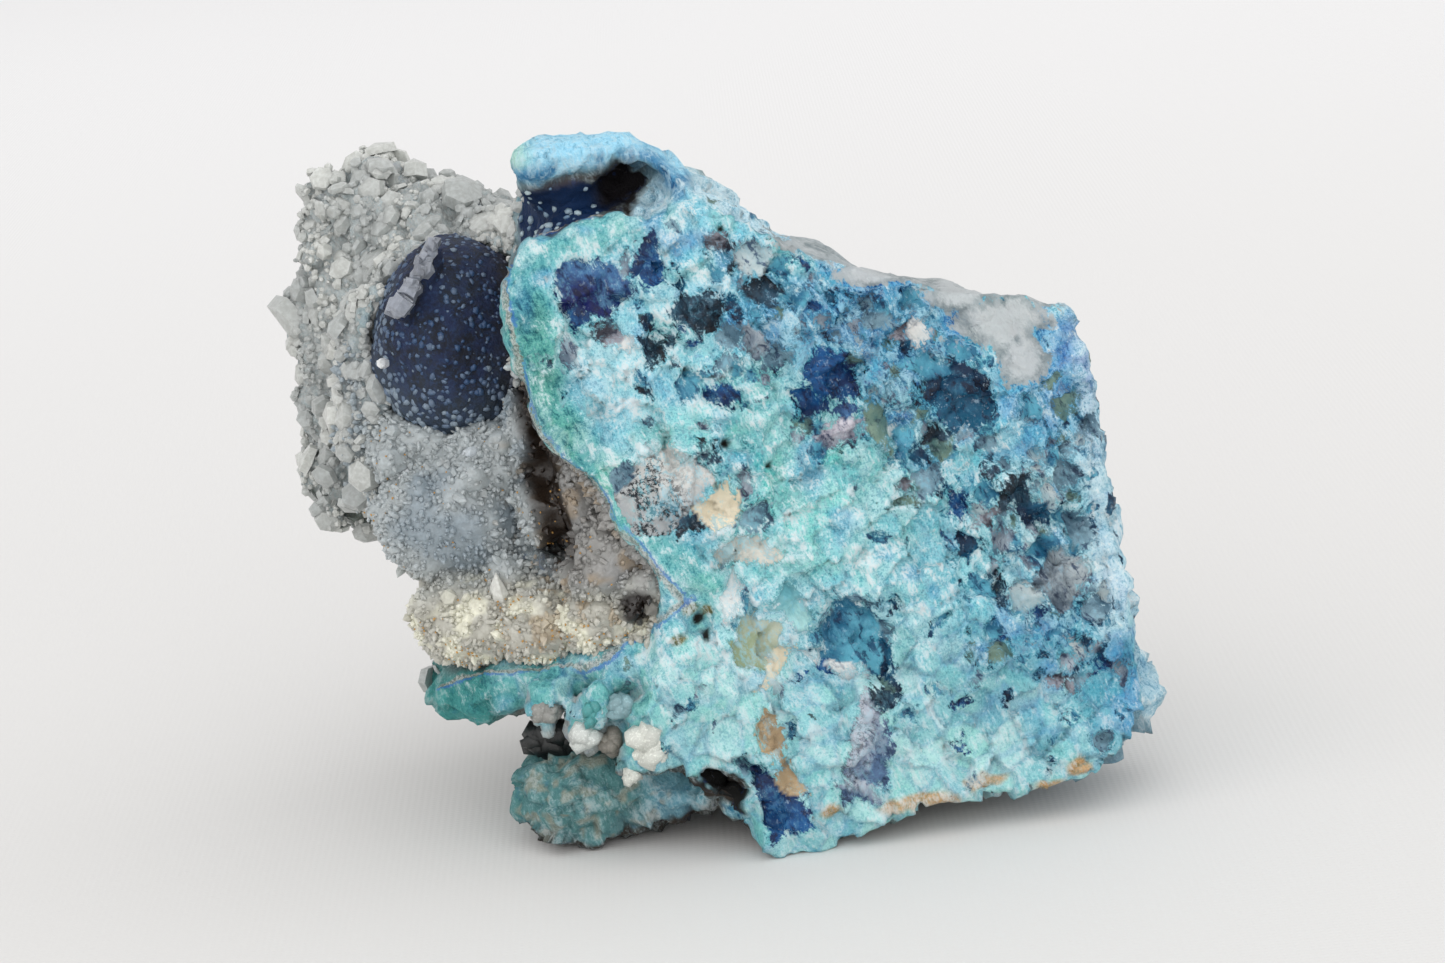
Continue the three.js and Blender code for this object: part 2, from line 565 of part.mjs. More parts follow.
// The larger single crystals of the druse.
const DRUSE_CRYSTALS = [
  { root: [-13.6, 8.8, 14.8], toward: [0.1, -0.5, 1], length: 3.4, radius: 1.0 },
  { root: [-18.8, 11.6, 23.0], toward: [-0.6, -0.8, 0.3], length: 2.6, radius: 0.65 },
  { root: [-17.6, 9.8, 21.8], toward: [-0.3, -1, 0.1], length: 2.0, radius: 0.6 },
  { root: [-19.0, 11.2, 20.0], toward: [-0.9, -0.7, 0], length: 2.4, radius: 0.7 },
  { root: [-14.8, 9.2, 22.2], toward: [0.1, -0.9, 0.4], length: 2.0, radius: 0.8 },
  { root: [-17.0, 7.6, 14.8], toward: [-0.9, -0.3, 0.3], length: 2.6, radius: 0.8 },
];

// The growths at their own size, or larger by `grow` all round, which is the seat that they need.
function ballForm(grow = 0) {
  return lump({ ...BALL, grow }).add(crystal({ ...BLADE, grow }));
}

function druseForm(grow = 0) {
  const lumps = DRUSE_LUMPS.map((size) => lump({ detail: 2, bumps: 0.45, bumpGrain: 1.9, ...size, grow }));
  const coat = DRUSE_LUMPS.map((size) =>
    crystalsOn(size, { count: 10, facing: [-0.5, -1, 0.4], radius: 0.55, length: 0.7, seed: size.seed, grow }),
  );
  return union([...lumps, ...coat, ...DRUSE_CRYSTALS.map((size) => crystal({ ...size, grow }))]);
}

// The rounded and broken forms of the rock as one even mesh, worn and roughened, then broken off flat
// in front.
function roughRock() {
  const lumps = [...SIDE_KNOBS, ...CORE_LUMPS].map(lump);
  const whole = union([slab(), dome(), hood(), shelf(), lobe(), rearMass(), ...lumps]);
  let even = geometryOf(whole);
  for (let round = 0; round < 3; round += 1) {
    even = worn(splitLongEdges(mergeShortEdges(even, SHORTEST_EDGE), LONGEST_EDGE), 1);
  }
  const rough = solidOf(roughened(even, { swell: 0.45, broad: 0.6, fine: 0.35, seed: 3 }));
  return rough.subtract(inFront()).subtract(pocket()).subtract(archGap());
}

function rock() {
  const coat = QUARTZ_LUMPS.map((size, i) =>
    crystalsOn(size, { count: 12, facing: [-1, -0.7, 0.5], radius: 0.8, length: 0.9, seed: 91 + i }),
  );
  const grown = [...HANGING_CRYSTALS.map(crystal), ...FRAGMENTS.map(fragment), ...coat];
  const seats = ballForm(SEAT_GAP).add(druseForm(SEAT_GAP));
  const floor = new THREE.BoxGeometry(200, 200, FLOOR_CUT).translate(0, 0, -FLOOR_CUT / 2);
  return tidied(union([roughRock(), ...grown])).subtract(seats).subtract(solidOf(floor));
}

// ---------------------------------------------------------------- the specimen

// The largest body of a solid: booleans on rough faces can leave crumbs, which are dropped.
function largest(solid) {
  return solid.decompose().reduce((best, body) => (body.volume() > best.volume() ? body : best));
}

function node(name, solid, color, roughness) {
  const mesh = new THREE.Mesh(geometryOf(solid), new THREE.MeshStandardMaterial({ color, roughness, metalness: 0 }));
  mesh.name = name;
  return mesh;
}

const specimen = new THREE.Group();
specimen.add(
  node("breccia_matrix", largest(rock()), COLOURS.rock, 0.8),
  node("shattuckite_ball", largest(ballForm()), COLOURS.shattuckite, 0.7),
  node("vug_druse", largest(tidied(druseForm()).subtract(ballForm(SEAT_GAP))), COLOURS.druse, 0.45),
);

// The origin is on the floor under the middle of the specimen's box.
const box = new THREE.Box3().setFromObject(specimen);
const middle = box.getCenter(new THREE.Vector3());
for (const mesh of specimen.children) mesh.geometry.translate(-middle.x, -middle.y, -box.min.z);

export default specimen;
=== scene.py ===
import itertools
import math

import bmesh
import bpy
import numpy as np
from mathutils import Matrix


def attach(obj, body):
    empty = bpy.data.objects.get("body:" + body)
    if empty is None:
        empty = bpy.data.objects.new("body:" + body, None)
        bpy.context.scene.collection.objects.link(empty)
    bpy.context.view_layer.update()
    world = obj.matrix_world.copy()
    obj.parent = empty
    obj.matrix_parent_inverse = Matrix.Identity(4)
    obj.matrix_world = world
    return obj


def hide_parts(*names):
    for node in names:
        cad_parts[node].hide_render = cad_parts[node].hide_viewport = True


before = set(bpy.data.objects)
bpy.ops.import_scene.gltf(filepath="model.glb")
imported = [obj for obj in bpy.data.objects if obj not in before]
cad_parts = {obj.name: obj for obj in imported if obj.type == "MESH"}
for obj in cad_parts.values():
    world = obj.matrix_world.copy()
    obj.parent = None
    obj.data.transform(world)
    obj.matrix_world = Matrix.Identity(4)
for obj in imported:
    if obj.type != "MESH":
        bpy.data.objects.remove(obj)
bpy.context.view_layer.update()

# ------------------------------------------------------------------ camera, cloth and light
# The specimen stands on a pale cloth under a broad, soft light that comes from above and from the
# right. The camera looks down on it a little, with its right side dipped.
MM = 0.001
DATUM = np.array([0.5256, -15.8464, 0.0])  # the drawing's zero in the frame: the lowest front corner, mm
LOOK_AT = np.array([0.0, 0.0, 22.884])  # mm, on the drawing
LOOK_DOWN = math.radians(14.0)
LOOK_ROLL = math.radians(5.5)
LOOK_FROM = 230.8  # mm
CLOTH_SIZE = 6.0  # m
# The cloth's colour near the camera and far off: a painted light gradient, dimmer near and brighter far.
CLOTH_NEAR_SHADED = (0.70, 0.690, 0.676, 1)
CLOTH_FAR_LIT = (0.86, 0.852, 0.850, 1)
CLOTH_DROP = 0.00002  # m between the foot and the cloth
AIR = (0.93, 0.93, 0.935, 1)
AIR_STRENGTH = 0.90
LAMP_AIM = np.array([0.0, 0.0, 0.02])  # m
LAMPS = [  # name, place and side in metres, watts
    ("window", (0.42, -0.15, 0.52), 1.2, 1.9),
    ("fill", (-0.45, -0.40, 0.35), 1.0, 1.9),
    ("front", (0.10, -0.80, 0.16), 0.7, 2.6),
]

along = np.array([0.0, math.cos(LOOK_DOWN), -math.sin(LOOK_DOWN)])
level = np.array([1.0, 0.0, 0.0])
upward = np.cross(level, along)
right = math.cos(LOOK_ROLL) * level - math.sin(LOOK_ROLL) * upward
above = math.sin(LOOK_ROLL) * level + math.cos(LOOK_ROLL) * upward
stand = (LOOK_AT + DATUM - along * LOOK_FROM) * MM
camera = bpy.data.objects.new("camera", bpy.data.cameras.new("camera"))
camera.data.lens = 100
camera.data.sensor_width = 36
camera.data.clip_start = 0.01
bpy.context.scene.collection.objects.link(camera)
place = np.eye(4)
place[:3] = np.stack([right, above, -along, stand], axis=1)
camera.matrix_world = Matrix(place.tolist())
bpy.context.scene.camera = camera
bpy.context.scene.view_settings.view_transform = "Standard"


class Finish:
    """A material being put together. Each method adds a node and returns the socket it gives."""

    def __init__(self, name):
        self.material = bpy.data.materials.new(name)
        self.material.use_nodes = True
        self.tree = self.material.node_tree
        self.surface = self.tree.nodes["Principled BSDF"]
        place = self.add("ShaderNodeTexCoord").outputs["Object"]
        scale = self.add("ShaderNodeVectorMath", {0: place, 1: (1 / MM,) * 3}, operation="MULTIPLY")
        self.place = scale.outputs[0]  # millimetres

    def feed(self, node, inputs):
        """Gives each of the node's inputs its value: a link, a number or a colour."""
        for key, value in inputs.items():
            if isinstance(value, bpy.types.NodeSocket):
                self.tree.links.new(value, node.inputs[key])
            else:
                node.inputs[key].default_value = value
        return node

    def add(self, kind, inputs=(), **settings):
        node = self.tree.nodes.new(kind)
        for key, value in settings.items():
            setattr(node, key, value)
        return self.feed(node, dict(inputs))

    def noise(self, grain, detail=3.0, rough=0.55, warp=0.0, place=None, shift=0.0):
        """Cloudy noise from 0 to 1 whose patches are about grain millimetres wide."""
        inputs = {"Scale": 1 / grain, "Detail": detail, "Roughness": rough, "Distortion": warp}
        inputs["Vector"] = self.moved(place or self.place, shift)
        return self.add("ShaderNodeTexNoise", inputs).outputs["Fac"]

    def moved(self, place, shift):
        if not shift:
            return place
        return self.add("ShaderNodeVectorMath", {0: place, 1: (shift, shift, shift)}).outputs[0]

    def stretched(self, scales, turn=(0.0, 0.0, 0.0)):
        """The place after a turn, in radians, and then a scale along each axis."""
        turned = self.add("ShaderNodeMapping", {"Vector": self.place, "Rotation": turn}).outputs[0]
        return self.add("ShaderNodeMapping", {"Vector": turned, "Scale": scales}).outputs[0]

    def ramp(self, value, low, high, to_low=0.0, to_high=1.0):
        """A smooth step: to_low where value is at low, and to_high where it is at high."""
        inputs = {"Value": value, "From Min": low, "From Max": high, "To Min": to_low, "To Max": to_high}
        return self.add("ShaderNodeMapRange", inputs, interpolation_type="SMOOTHSTEP").outputs["Result"]

    def sum(self, a, b):
        return self.add("ShaderNodeMath", {0: a, 1: b}, operation="ADD").outputs[0]

    def times(self, *values):
        """The product of the values."""
        product = values[0]
        for value in values[1:]:
            product = self.add("ShaderNodeMath", {0: product, 1: value}, operation="MULTIPLY").outputs[0]
        return product

    def weighed(self, *pairs):
        """The sum of values, each times its weight."""
        total = 0.0
        for value, weight in pairs:
            inputs = {0: value, 1: weight, 2: total}
            total = self.add("ShaderNodeMath", inputs, operation="MULTIPLY_ADD").outputs[0]
        return total

    def mix(self, share, a, b, blend="MIX"):
        """Colour a turned into colour b by share."""
        inputs = {0: share, 6: a, 7: b}
        return self.add("ShaderNodeMix", inputs, data_type="RGBA", blend_type=blend).outputs[2]

    def tinted(self, colour, by):
        """One colour multiplied by another."""
        return self.mix(1.0, colour, by, "MULTIPLY")

    def over(self, under, colour, *shares):
        """A colour laid over another one, as strongly as the product of the shares."""
        return self.mix(self.times(*shares), under, colour)

    def value_of(self, name, output="Fac"):
        return self.add("ShaderNodeAttribute", attribute_name=name).outputs[output]

    def bump(self, height, distance, strength=1.0):
        inputs = {"Height": height, "Distance": distance * MM, "Strength": strength}
        return self.add("ShaderNodeBump", inputs).outputs["Normal"]

    def finish(self, **sockets):
        self.feed(self.surface, {key.replace("_", " "): value for key, value in sockets.items()})
        return self.material


def ink(*screen):
    """A screen colour, 0 to 255, as the linear colour that shaders take."""
    linear = (((c / 255 + 0.055) / 1.055) ** 2.4 if c > 10 else c / 255 / 12.92 for c in screen)
    return (*linear, 1.0)


def cloth_finish():
    """Pale cloth whose threads are two crossed waves, with painted light that makes it paler where it is far
    off.
    """
    cloth = Finish("pale_cloth")
    far = cloth.add("ShaderNodeSeparateXYZ", {"Vector": cloth.place}).outputs["Y"]
    colour = cloth.mix(cloth.ramp(far, -60.0, 420.0), CLOTH_NEAR_SHADED, CLOTH_FAR_LIT)
    inputs = {"Vector": cloth.place, "Scale": 0.75, "Distortion": 0.4}
    weft, warp = (cloth.add("ShaderNodeTexWave", inputs, bands_direction=way).outputs["Fac"] for way in "XY")
    weave = cloth.bump(cloth.times(weft, warp), 0.05, 0.25)
    return cloth.finish(Base_Color=colour, Roughness=0.9, Normal=weave)


half = CLOTH_SIZE / 2
corners = [(-half, -half), (half, -half), (half, half), (-half, half)]
cloth_mesh = bpy.data.meshes.new("cloth")
cloth_mesh.from_pydata([(x, y, -CLOTH_DROP) for x, y in corners], [], [(0, 1, 2, 3)])
cloth_mesh.materials.append(cloth_finish())
cloth = bpy.data.objects.new("cloth", cloth_mesh)
bpy.context.scene.collection.objects.link(cloth)

air = bpy.data.worlds.new("air")
air.use_nodes = True
sky = air.node_tree.nodes["Background"]
sky.inputs["Color"].default_value = AIR
sky.inputs["Strength"].default_value = AIR_STRENGTH
bpy.context.scene.world = air

for name, hung, side, watts in LAMPS:
    lamp = bpy.data.objects.new(name, bpy.data.lights.new(name, "AREA"))
    lamp.data.size = side
    lamp.data.energy = watts
    lamp.location = hung
    aim = LAMP_AIM - hung
    flat = math.hypot(aim[0], aim[1])
    lamp.rotation_euler = (math.atan2(flat, -aim[2]), 0.0, math.atan2(aim[1], aim[0]) - math.pi / 2)
    bpy.context.scene.collection.objects.link(lamp)

# ------------------------------------------------------------------ the breccia
# The rock itself: angular fragments of quartz, clear, smoky or stained blue, that light blue and
# green chrysocolla has cemented together. It is one piece, broken open across the front, and its
# back and its upper left are milky quartz.
ROCK_CELL = 0.40  # mm between the points of the rock's surface
FINE_DEPTH = 2.6  # mm behind the broken face within which the surface is twice as fine
START, LEAN, SKEW = -0.74, 0.14, 0.08  # the broken face: y = START + LEAN * z + SKEW * x
SHELF_START, SHELF_RUN = -0.64, 0.42  # the shelf's and the lobe's front: y = SHELF_START - SHELF_RUN * x

SLAB = np.array([
    [-11.4, 34.6], [-11.1, 36.0], [-10.4, 37.0], [-8.8, 37.8], [-7.0, 38.3], [-4.9, 38.6], [-3.0, 38.2],
    [-2.4, 39.0], [-1.9, 40.6], [-0.2, 39.7], [1.4, 38.1], [3.4, 36.2], [5.2, 35.7], [7.5, 34.7],
    [9.8, 34.1], [12.0, 32.9], [14.2, 31.9], [17.1, 31.1], [20.0, 30.7], [21.6, 29.7], [21.9, 25.1],
    [21.6, 19.9], [22.1, 15.1], [23.0, 10.3], [23.2, 4.6], [21.8, 3.3], [19.3, 2.3], [14.5, 1.8],
    [8.5, 1.7], [6.3, 0.6], [2.4, -1.2], [0.6, 0.4], [0.2, 4.2], [-1.4, 5.6], [-4.6, 5.3], [-6.4, 6.6],
    [-6.6, 8.0], [-5.4, 10.0], [-4.4, 12.6], [-2.8, 15.7], [-4.1, 17.6], [-5.1, 19.2], [-6.4, 20.8],
    [-7.1, 22.6], [-8.7, 24.5], [-9.9, 26.4], [-10.9, 28.3], [-10.8, 31.1],
])
SHELF = np.array([
    [-2.4, 15.6], [-5.0, 14.1], [-7.0, 12.6], [-8.9, 11.3], [-10.7, 11.5], [-14.3, 11.1], [-18.4, 11.2],
    [-20.6, 9.2], [-19.0, 7.4], [-15.4, 8.2], [-11.5, 9.0], [-9.4, 8.9], [-7.2, 9.4], [-4.6, 11.6],
    [-2.6, 12.6],
])
HOOD = np.array([
    [-11.6, 44.0], [-9.1, 43.6], [-7.2, 43.5], [-4.6, 44.1], [-2.4, 43.5], [-0.8, 41.9], [0.2, 39.8],
    [-1.2, 38.9], [-2.5, 40.4], [-4.2, 41.4], [-5.8, 40.9], [-7.9, 40.5], [-10.5, 40.3], [-11.4, 40.9],
    [-11.8, 42.2],
])
RIM = np.concatenate([SLAB[39:], SLAB[:7]])  # the crust's outer edge, from the shelf up and over the arc
SHELF_RIM = SHELF[:7]
CLEFT = np.array([  # the dark cleft between the ball's lumps and the slab, from top to bottom: x, z
    [-10.9, 28.0], [-10.6, 26.6], [-10.2, 24.8], [-10.7, 22.4], [-10.3, 20.8], [-10.0, 19.4], [-10.0, 18.2],
])
# Painted shade: along this line the recess over the lobe's right end is coloured nearly black.
SHADED_RECESS = np.array([[-3.6, 5.1], [-1.8, 4.2], [-0.3, 3.3]])  # the dark recess over the lobe's right end: x, z
DOME_MIDDLE, DOME_HALVES = (-8.2, 9.5, 37.3), (4.2, 4.6, 3.4)  # the blue dome in the pocket under the hood

# Fragments that show in the broken face: middle x and z, half-widths, turn in degrees, and kind.
SHARDS = [
    (-6.3, 34.2, 2.3, 2.0, 20, "violet"), (-7.3, 33.0, 1.1, 0.9, 60, "navy"),
    (-3.0, 35.3, 1.0, 1.7, -12, "navy"), (-4.7, 35.0, 0.5, 1.2, -20, "grey"),
    (-0.4, 32.2, 1.7, 1.5, 35, "smoky"), (0.2, 32.0, 0.7, 0.7, 0, "teal"),
    (1.2, 30.6, 1.0, 0.8, 10, "slate"), (3.3, 33.0, 1.3, 0.8, -32, "smoky"),
    (3.1, 34.8, 1.3, 1.1, 0, "milky"), (0.9, 36.1, 0.8, 0.6, 0, "brown"),
    (1.7, 34.6, 0.6, 0.5, 20, "smoky"), (-3.3, 30.4, 0.7, 1.0, -25, "smoky"),
    (-5.9, 31.6, 0.8, 0.6, 10, "brown"), (-4.9, 31.0, 0.5, 0.5, 10, "white"),
    (4.6, 34.0, 0.5, 0.5, 0, "teal"), (3.7, 28.9, 1.1, 0.8, 15, "slate"), (1.3, 28.6, 0.5, 0.6, 0, "teal"),
    (5.6, 32.2, 0.8, 0.6, 25, "teal"), (6.9, 27.7, 1.6, 1.7, -20, "navy"),
    (5.5, 26.0, 0.7, 1.3, 20, "navy"), (7.2, 24.2, 1.6, 0.9, 8, "prism"),
    (7.6, 25.4, 0.8, 0.7, 30, "violet"), (14.0, 25.5, 2.5, 2.1, -38, "deep"),
    (9.6, 24.6, 0.7, 1.8, 14, "olive"), (10.8, 23.6, 0.6, 1.2, -20, "teal"),
    (12.1, 29.2, 0.7, 1.1, 20, "white"), (11.1, 29.6, 0.6, 0.7, 0, "brown"),
    (10.0, 30.5, 1.2, 0.7, -10, "slate"), (12.6, 27.4, 1.4, 0.8, -30, "teal"),
    (-3.3, 22.2, 3.1, 2.4, 24, "speckled"), (-5.7, 23.4, 0.8, 1.0, 10, "slate"),
    (-0.3, 20.8, 1.2, 1.1, 40, "cream"), (0.7, 18.1, 1.6, 0.9, 12, "bone"),
    (1.6, 19.9, 1.2, 0.7, 30, "slate"), (-2.2, 20.0, 0.9, 0.6, 30, "smoky"),
    (11.6, 22.4, 0.5, 0.5, 0, "deep"), (12.9, 22.6, 0.7, 0.9, 10, "olive"),
    (10.6, 20.9, 0.6, 0.5, 0, "brown"), (11.9, 21.2, 0.9, 0.8, 30, "slate"),
    (10.3, 19.8, 0.8, 0.3, -8, "olive"), (15.2, 20.0, 0.9, 0.9, 0, "teal"),
    (17.1, 19.6, 1.4, 1.2, 18, "smoky"), (13.5, 19.3, 0.5, 0.9, -20, "navy"),
    (15.4, 18.5, 1.2, 0.5, 25, "brown"), (18.9, 19.2, 0.5, 1.0, 8, "milky"),
    (20.2, 20.2, 0.9, 1.1, 0, "slate"), (20.6, 16.8, 0.9, 1.2, 0, "slate"),
    (15.9, 17.0, 0.7, 0.6, 20, "grey"), (18.2, 16.3, 1.0, 0.5, 25, "teal"),
    (19.3, 14.2, 2.0, 1.7, -30, "streaked"), (21.2, 12.0, 1.0, 0.9, 0, "slate"),
    (15.5, 14.0, 0.5, 0.7, 0, "smoky"), (15.3, 15.0, 0.8, 0.3, 20, "smoky"),
    (17.0, 13.6, 0.8, 0.9, 0, "milky"), (11.8, 12.6, 0.6, 0.5, 0, "teal"),
    (15.0, 11.7, 0.7, 0.7, 40, "teal"), (6.8, 12.2, 1.7, 2.2, -10, "teal"),
    (7.2, 14.4, 1.3, 0.5, -12, "slate"), (8.5, 10.6, 0.5, 1.8, 8, "deep"), (8.6, 9.4, 0.4, 0.8, 0, "olive"),
    (18.5, 8.2, 0.9, 0.3, -4, "brown"), (19.3, 7.6, 0.4, 0.5, 0, "brown"),
    (5.7, 10.6, 1.5, 0.3, -24, "white"), (1.0, 12.7, 1.4, 1.7, -14, "moss"),
    (1.9, 10.8, 0.6, 1.1, -30, "cream"), (3.4, 14.4, 0.8, 1.9, 24, "aqua"),
    (-0.2, 15.3, 0.5, 1.1, -20, "white"), (7.0, 5.9, 1.5, 2.6, -16, "blue_grey"),
    (5.9, 3.6, 1.0, 0.7, 10, "blue_grey"), (1.4, 6.9, 0.8, 1.5, 4, "tan"), (2.0, 4.2, 0.9, 1.1, 12, "tan"),
    (1.6, 2.7, 1.4, 1.7, -10, "navy"), (21.0, 4.4, 0.7, 0.6, 0, "slate"),
    (-8.0, 30.6, 0.5, 0.9, 10, "grey"), (14.9, 28.0, 1.5, 0.6, -35, "teal"),
]
# Kinds of fragment: main colour, the colour of its clouds, how glossy, and how speckled with black.
KINDS = {
    "violet": (ink(8, 20, 84), ink(56, 96, 142), 0.8, 0.3),
    "navy": (ink(4, 34, 76), ink(14, 80, 136), 0.8, 0.15),
    "deep": (ink(4, 34, 62), ink(14, 80, 110), 1.0, 0.0),
    "teal": (ink(34, 98, 130), ink(84, 158, 180), 0.7, 0.0),
    "smoky": (ink(6, 22, 34), ink(40, 70, 90), 0.8, 0.3),
    "brown": (ink(62, 60, 70), ink(150, 148, 156), 0.5, 0.4),
    "slate": (ink(68, 100, 118), ink(128, 160, 174), 0.6, 0.15),
    "grey": (ink(96, 112, 128), ink(160, 170, 178), 0.6, 0.15),
    "milky": (ink(140, 168, 176), ink(190, 200, 200), 0.7, 0.0),
    "white": (ink(196, 202, 202), ink(228, 226, 222), 0.4, 0.0),
    "olive": (ink(74, 108, 106), ink(118, 142, 126), 0.5, 0.0),
    "moss": (ink(140, 154, 124), ink(182, 188, 170), 0.1, 0.0),
    "bone": (ink(168, 174, 168), ink(204, 202, 192), 0.2, 0.2),
    "aqua": (ink(104, 170, 180), ink(170, 214, 212), 0.3, 0.0),
    "speckled": (ink(158, 162, 164), ink(204, 204, 200), 0.2, 1.0),
    "cream": (ink(206, 196, 172), ink(232, 220, 196), 0.2, 0.1),
    "tan": (ink(160, 138, 108), ink(200, 176, 142), 0.1, 0.4),
    "prism": (ink(70, 78, 100), ink(206, 200, 208), 1.0, 0.3),
    "streaked": (ink(74, 90, 104), ink(172, 182, 186), 0.6, 0.2),
    "blue_grey": (ink(78, 104, 138), ink(176, 182, 192), 0.5, 0.6),
}
# The kinds that a small fragment's own number picks from.
SMALL_KINDS = (
    "deep", "teal", "slate", "teal", "deep", "grey", "slate", "navy", "milky", "smoky", "olive", "teal",
)
# Where small fragments crowd: x, z, reach, and the share of the crust that they take there.
CROWDS = [
    (12, 27, 5.5, 0.9), (17.5, 17.5, 4.5, 0.85), (3, 32, 4, 0.75), (18, 12, 4.5, 0.85), (8, 31, 4, 0.85),
    (7, 12, 3, 0.5), (15, 8, 4, 0.15), (0, 22, 3, 0.25), (-1, 30, 4, 0.45), (21, 22, 4, 0.75),
]
PLAIN_CRUST, PLAIN_SHARE = (118, 180, 192), 0.35
# Soft stains in the crust: x, z, reach, screen colour.
STAINS = [
    (-9.6, 31.6, 2.0, (116, 182, 176)), (-10.2, 32.7, 1.0, (36, 92, 92)), (-9.6, 29.8, 1.1, (46, 108, 90)),
    (-9.9, 27.6, 1.1, (84, 156, 140)), (-9.2, 26.2, 1.2, (98, 166, 152)),
    (-8.0, 24.6, 1.2, (104, 168, 158)), (-6.8, 22.8, 1.1, (104, 172, 158)),
    (-6.0, 37.4, 2.6, (132, 190, 200)), (-6.0, 22.0, 1.8, (122, 196, 186)),
    (-4.0, 28.6, 3.4, (158, 202, 212)), (-2.0, 37.6, 2.6, (126, 182, 204)),
    (2.5, 37.0, 2.6, (128, 190, 206)), (3.0, 31.0, 3.0, (106, 168, 204)), (1.5, 27.4, 2.4, (136, 200, 190)),
    (4.6, 23.4, 3.0, (66, 172, 158)), (4.0, 17.4, 1.3, (134, 172, 128)), (-1.5, 25.6, 2.0, (140, 200, 196)),
    (7.5, 33.0, 2.6, (70, 142, 188)), (11.0, 29.0, 3.4, (64, 138, 182)), (4.5, 19.6, 2.8, (152, 218, 210)),
    (9.0, 21.5, 2.4, (124, 186, 186)), (14.0, 22.0, 3.0, (96, 170, 188)), (19.5, 24.5, 2.8, (84, 150, 198)),
    (8.0, 17.0, 3.4, (140, 194, 198)), (13.0, 15.0, 3.4, (122, 186, 200)),
    (18.0, 17.0, 3.0, (132, 172, 186)), (3.0, 16.0, 2.0, (134, 192, 200)),
    (-1.0, 11.0, 3.6, (170, 212, 212)), (3.5, 8.0, 2.4, (168, 212, 216)), (9.5, 7.5, 2.4, (160, 206, 212)),
    (14.9, 7.6, 2.2, (112, 156, 168)), (9.6, 11.4, 1.9, (146, 184, 190)), (10.8, 23.6, 1.5, (48, 96, 126)),
    (13.0, 4.6, 3.2, (170, 214, 218)), (17.0, 6.6, 2.8, (142, 198, 212)), (17.5, 10.0, 3.4, (72, 150, 186)),
    (12.0, 10.0, 3.0, (116, 174, 196)), (21.4, 7.6, 2.6, (62, 144, 184)),
    (21.2, 27.4, 1.6, (128, 164, 210)), (5.0, 1.6, 2.4, (146, 200, 202)), (-3.4, 7.4, 2.2, (150, 202, 214)),
    (22.0, 16.0, 2.0, (142, 196, 214)),
]
# Patches of milky quartz along the slab's top: x, z, half-widths.
MILK = [
    (5.8, 35.6, 1.4, 0.5), (10.2, 33.3, 2.2, 0.9), (14.9, 31.4, 1.8, 0.9), (17.2, 29.6, 2.8, 1.5),
    (20.2, 30.6, 1.2, 0.7), (18.3, 27.2, 1.4, 1.5),
]
# Small deep holes: x, z, half-widths, depth.
HOLES = [
    (-1.4, 28.8, 0.22, 0.34, 0.9), (0.4, 24.4, 0.34, 0.3, 0.9), (2.8, 22.9, 0.2, 0.18, 0.5),
    (-2.1, 14.3, 0.3, 0.36, 0.5), (-1.8, 13.3, 0.22, 0.5, 0.5), (1.3, 36.8, 0.2, 0.2, 0.5),
    (15.6, 14.1, 0.3, 0.45, 0.8), (21.0, 4.6, 0.4, 0.3, 0.8),
]
FOOT_TOP, TAN, BROWN = 6.0, (206, 162, 108), (128, 114, 58)
# Brown stains where the shelf meets the slab, and tan ones along the foot: x, z, half-widths.
RUST = [
    (19.4, 3.0, 0.9, 0.6), (17.6, 2.2, 1.0, 0.4), (13.7, 2.9, 1.2, 0.5), (10.9, 2.3, 1.6, 0.5),
    (8.6, 2.2, 1.4, 0.5), (-2.6, 15.0, 0.5, 0.5), (-1.6, 14.8, 0.35, 0.4), (-3.6, 13.4, 0.6, 0.3),
    (4.4, 2.4, 0.8, 0.5),
]


def lattice(corner, seed):
    """A number from 0 to 1 that a lattice corner and a seed fix: the corner's three whole numbers and
    the seed are each multiplied by a large odd number, joined by exclusive-or, and stirred twice."""
    i, j, k = (corner[..., n].astype(np.int64).astype(np.uint64) for n in range(3))
    mask, stir, stir_again = np.uint64(0xFFFFFFFF), np.uint64(1274126177), np.uint64(2246822519)
    h = i * np.uint64(374761393) ^ j * np.uint64(668265263) ^ k * np.uint64(1440662683)
    h = (h ^ np.uint64(seed * 974634777)) & mask
    h = ((h ^ (h >> np.uint64(13))) * stir) & mask
    h = ((h ^ (h >> np.uint64(15))) * stir_again) & mask
    return (h ^ (h >> np.uint64(16))) / 4294967295.0


def noise(points, grain, seed):
    """Smooth noise from -1 to 1 with hills about grain millimetres wide: the eight corners of a point's
    lattice cube each have a random height, and the heights are mixed by smooth weights."""
    place = points / grain
    corner = np.floor(place)
    part = place - corner
    part = part * part * (3 - 2 * part)
    total = np.zeros(len(points))
    for step in itertools.product((0, 1), repeat=3):
        weight = np.prod(np.where(step, part, 1 - part), axis=1)
        total += weight * lattice(corner + step, seed)
    return total * 2 - 1


def cells(points, size, seed):
    """The cells of a jittered lattice, about size millimetres wide. Gives each point's distance to the
    nearest cell's middle and to the next one, the nearest cell's own random number, and the arm from
    that middle to the point."""
    place = points / size
    corner = np.floor(place)
    near = np.full(len(points), 9.0)
    following = near.copy()
    own = np.zeros(len(points))
    arm = np.zeros_like(points)
    for step in itertools.product((-1, 0, 1), repeat=3):
        there = corner + step
        middle = there + np.stack([lattice(there, seed + n) for n in range(3)], axis=1)
        away = place - middle
        distance = np.sqrt((away**2).sum(axis=1))
        closer = distance < near
        following = np.where(closer, near, np.minimum(following, distance))
        near = np.where(closer, distance, near)
        own = np.where(closer, lattice(there, seed + 3), own)
        arm = np.where(closer[:, None], away, arm)
    return near * size, following * size, own, arm * size


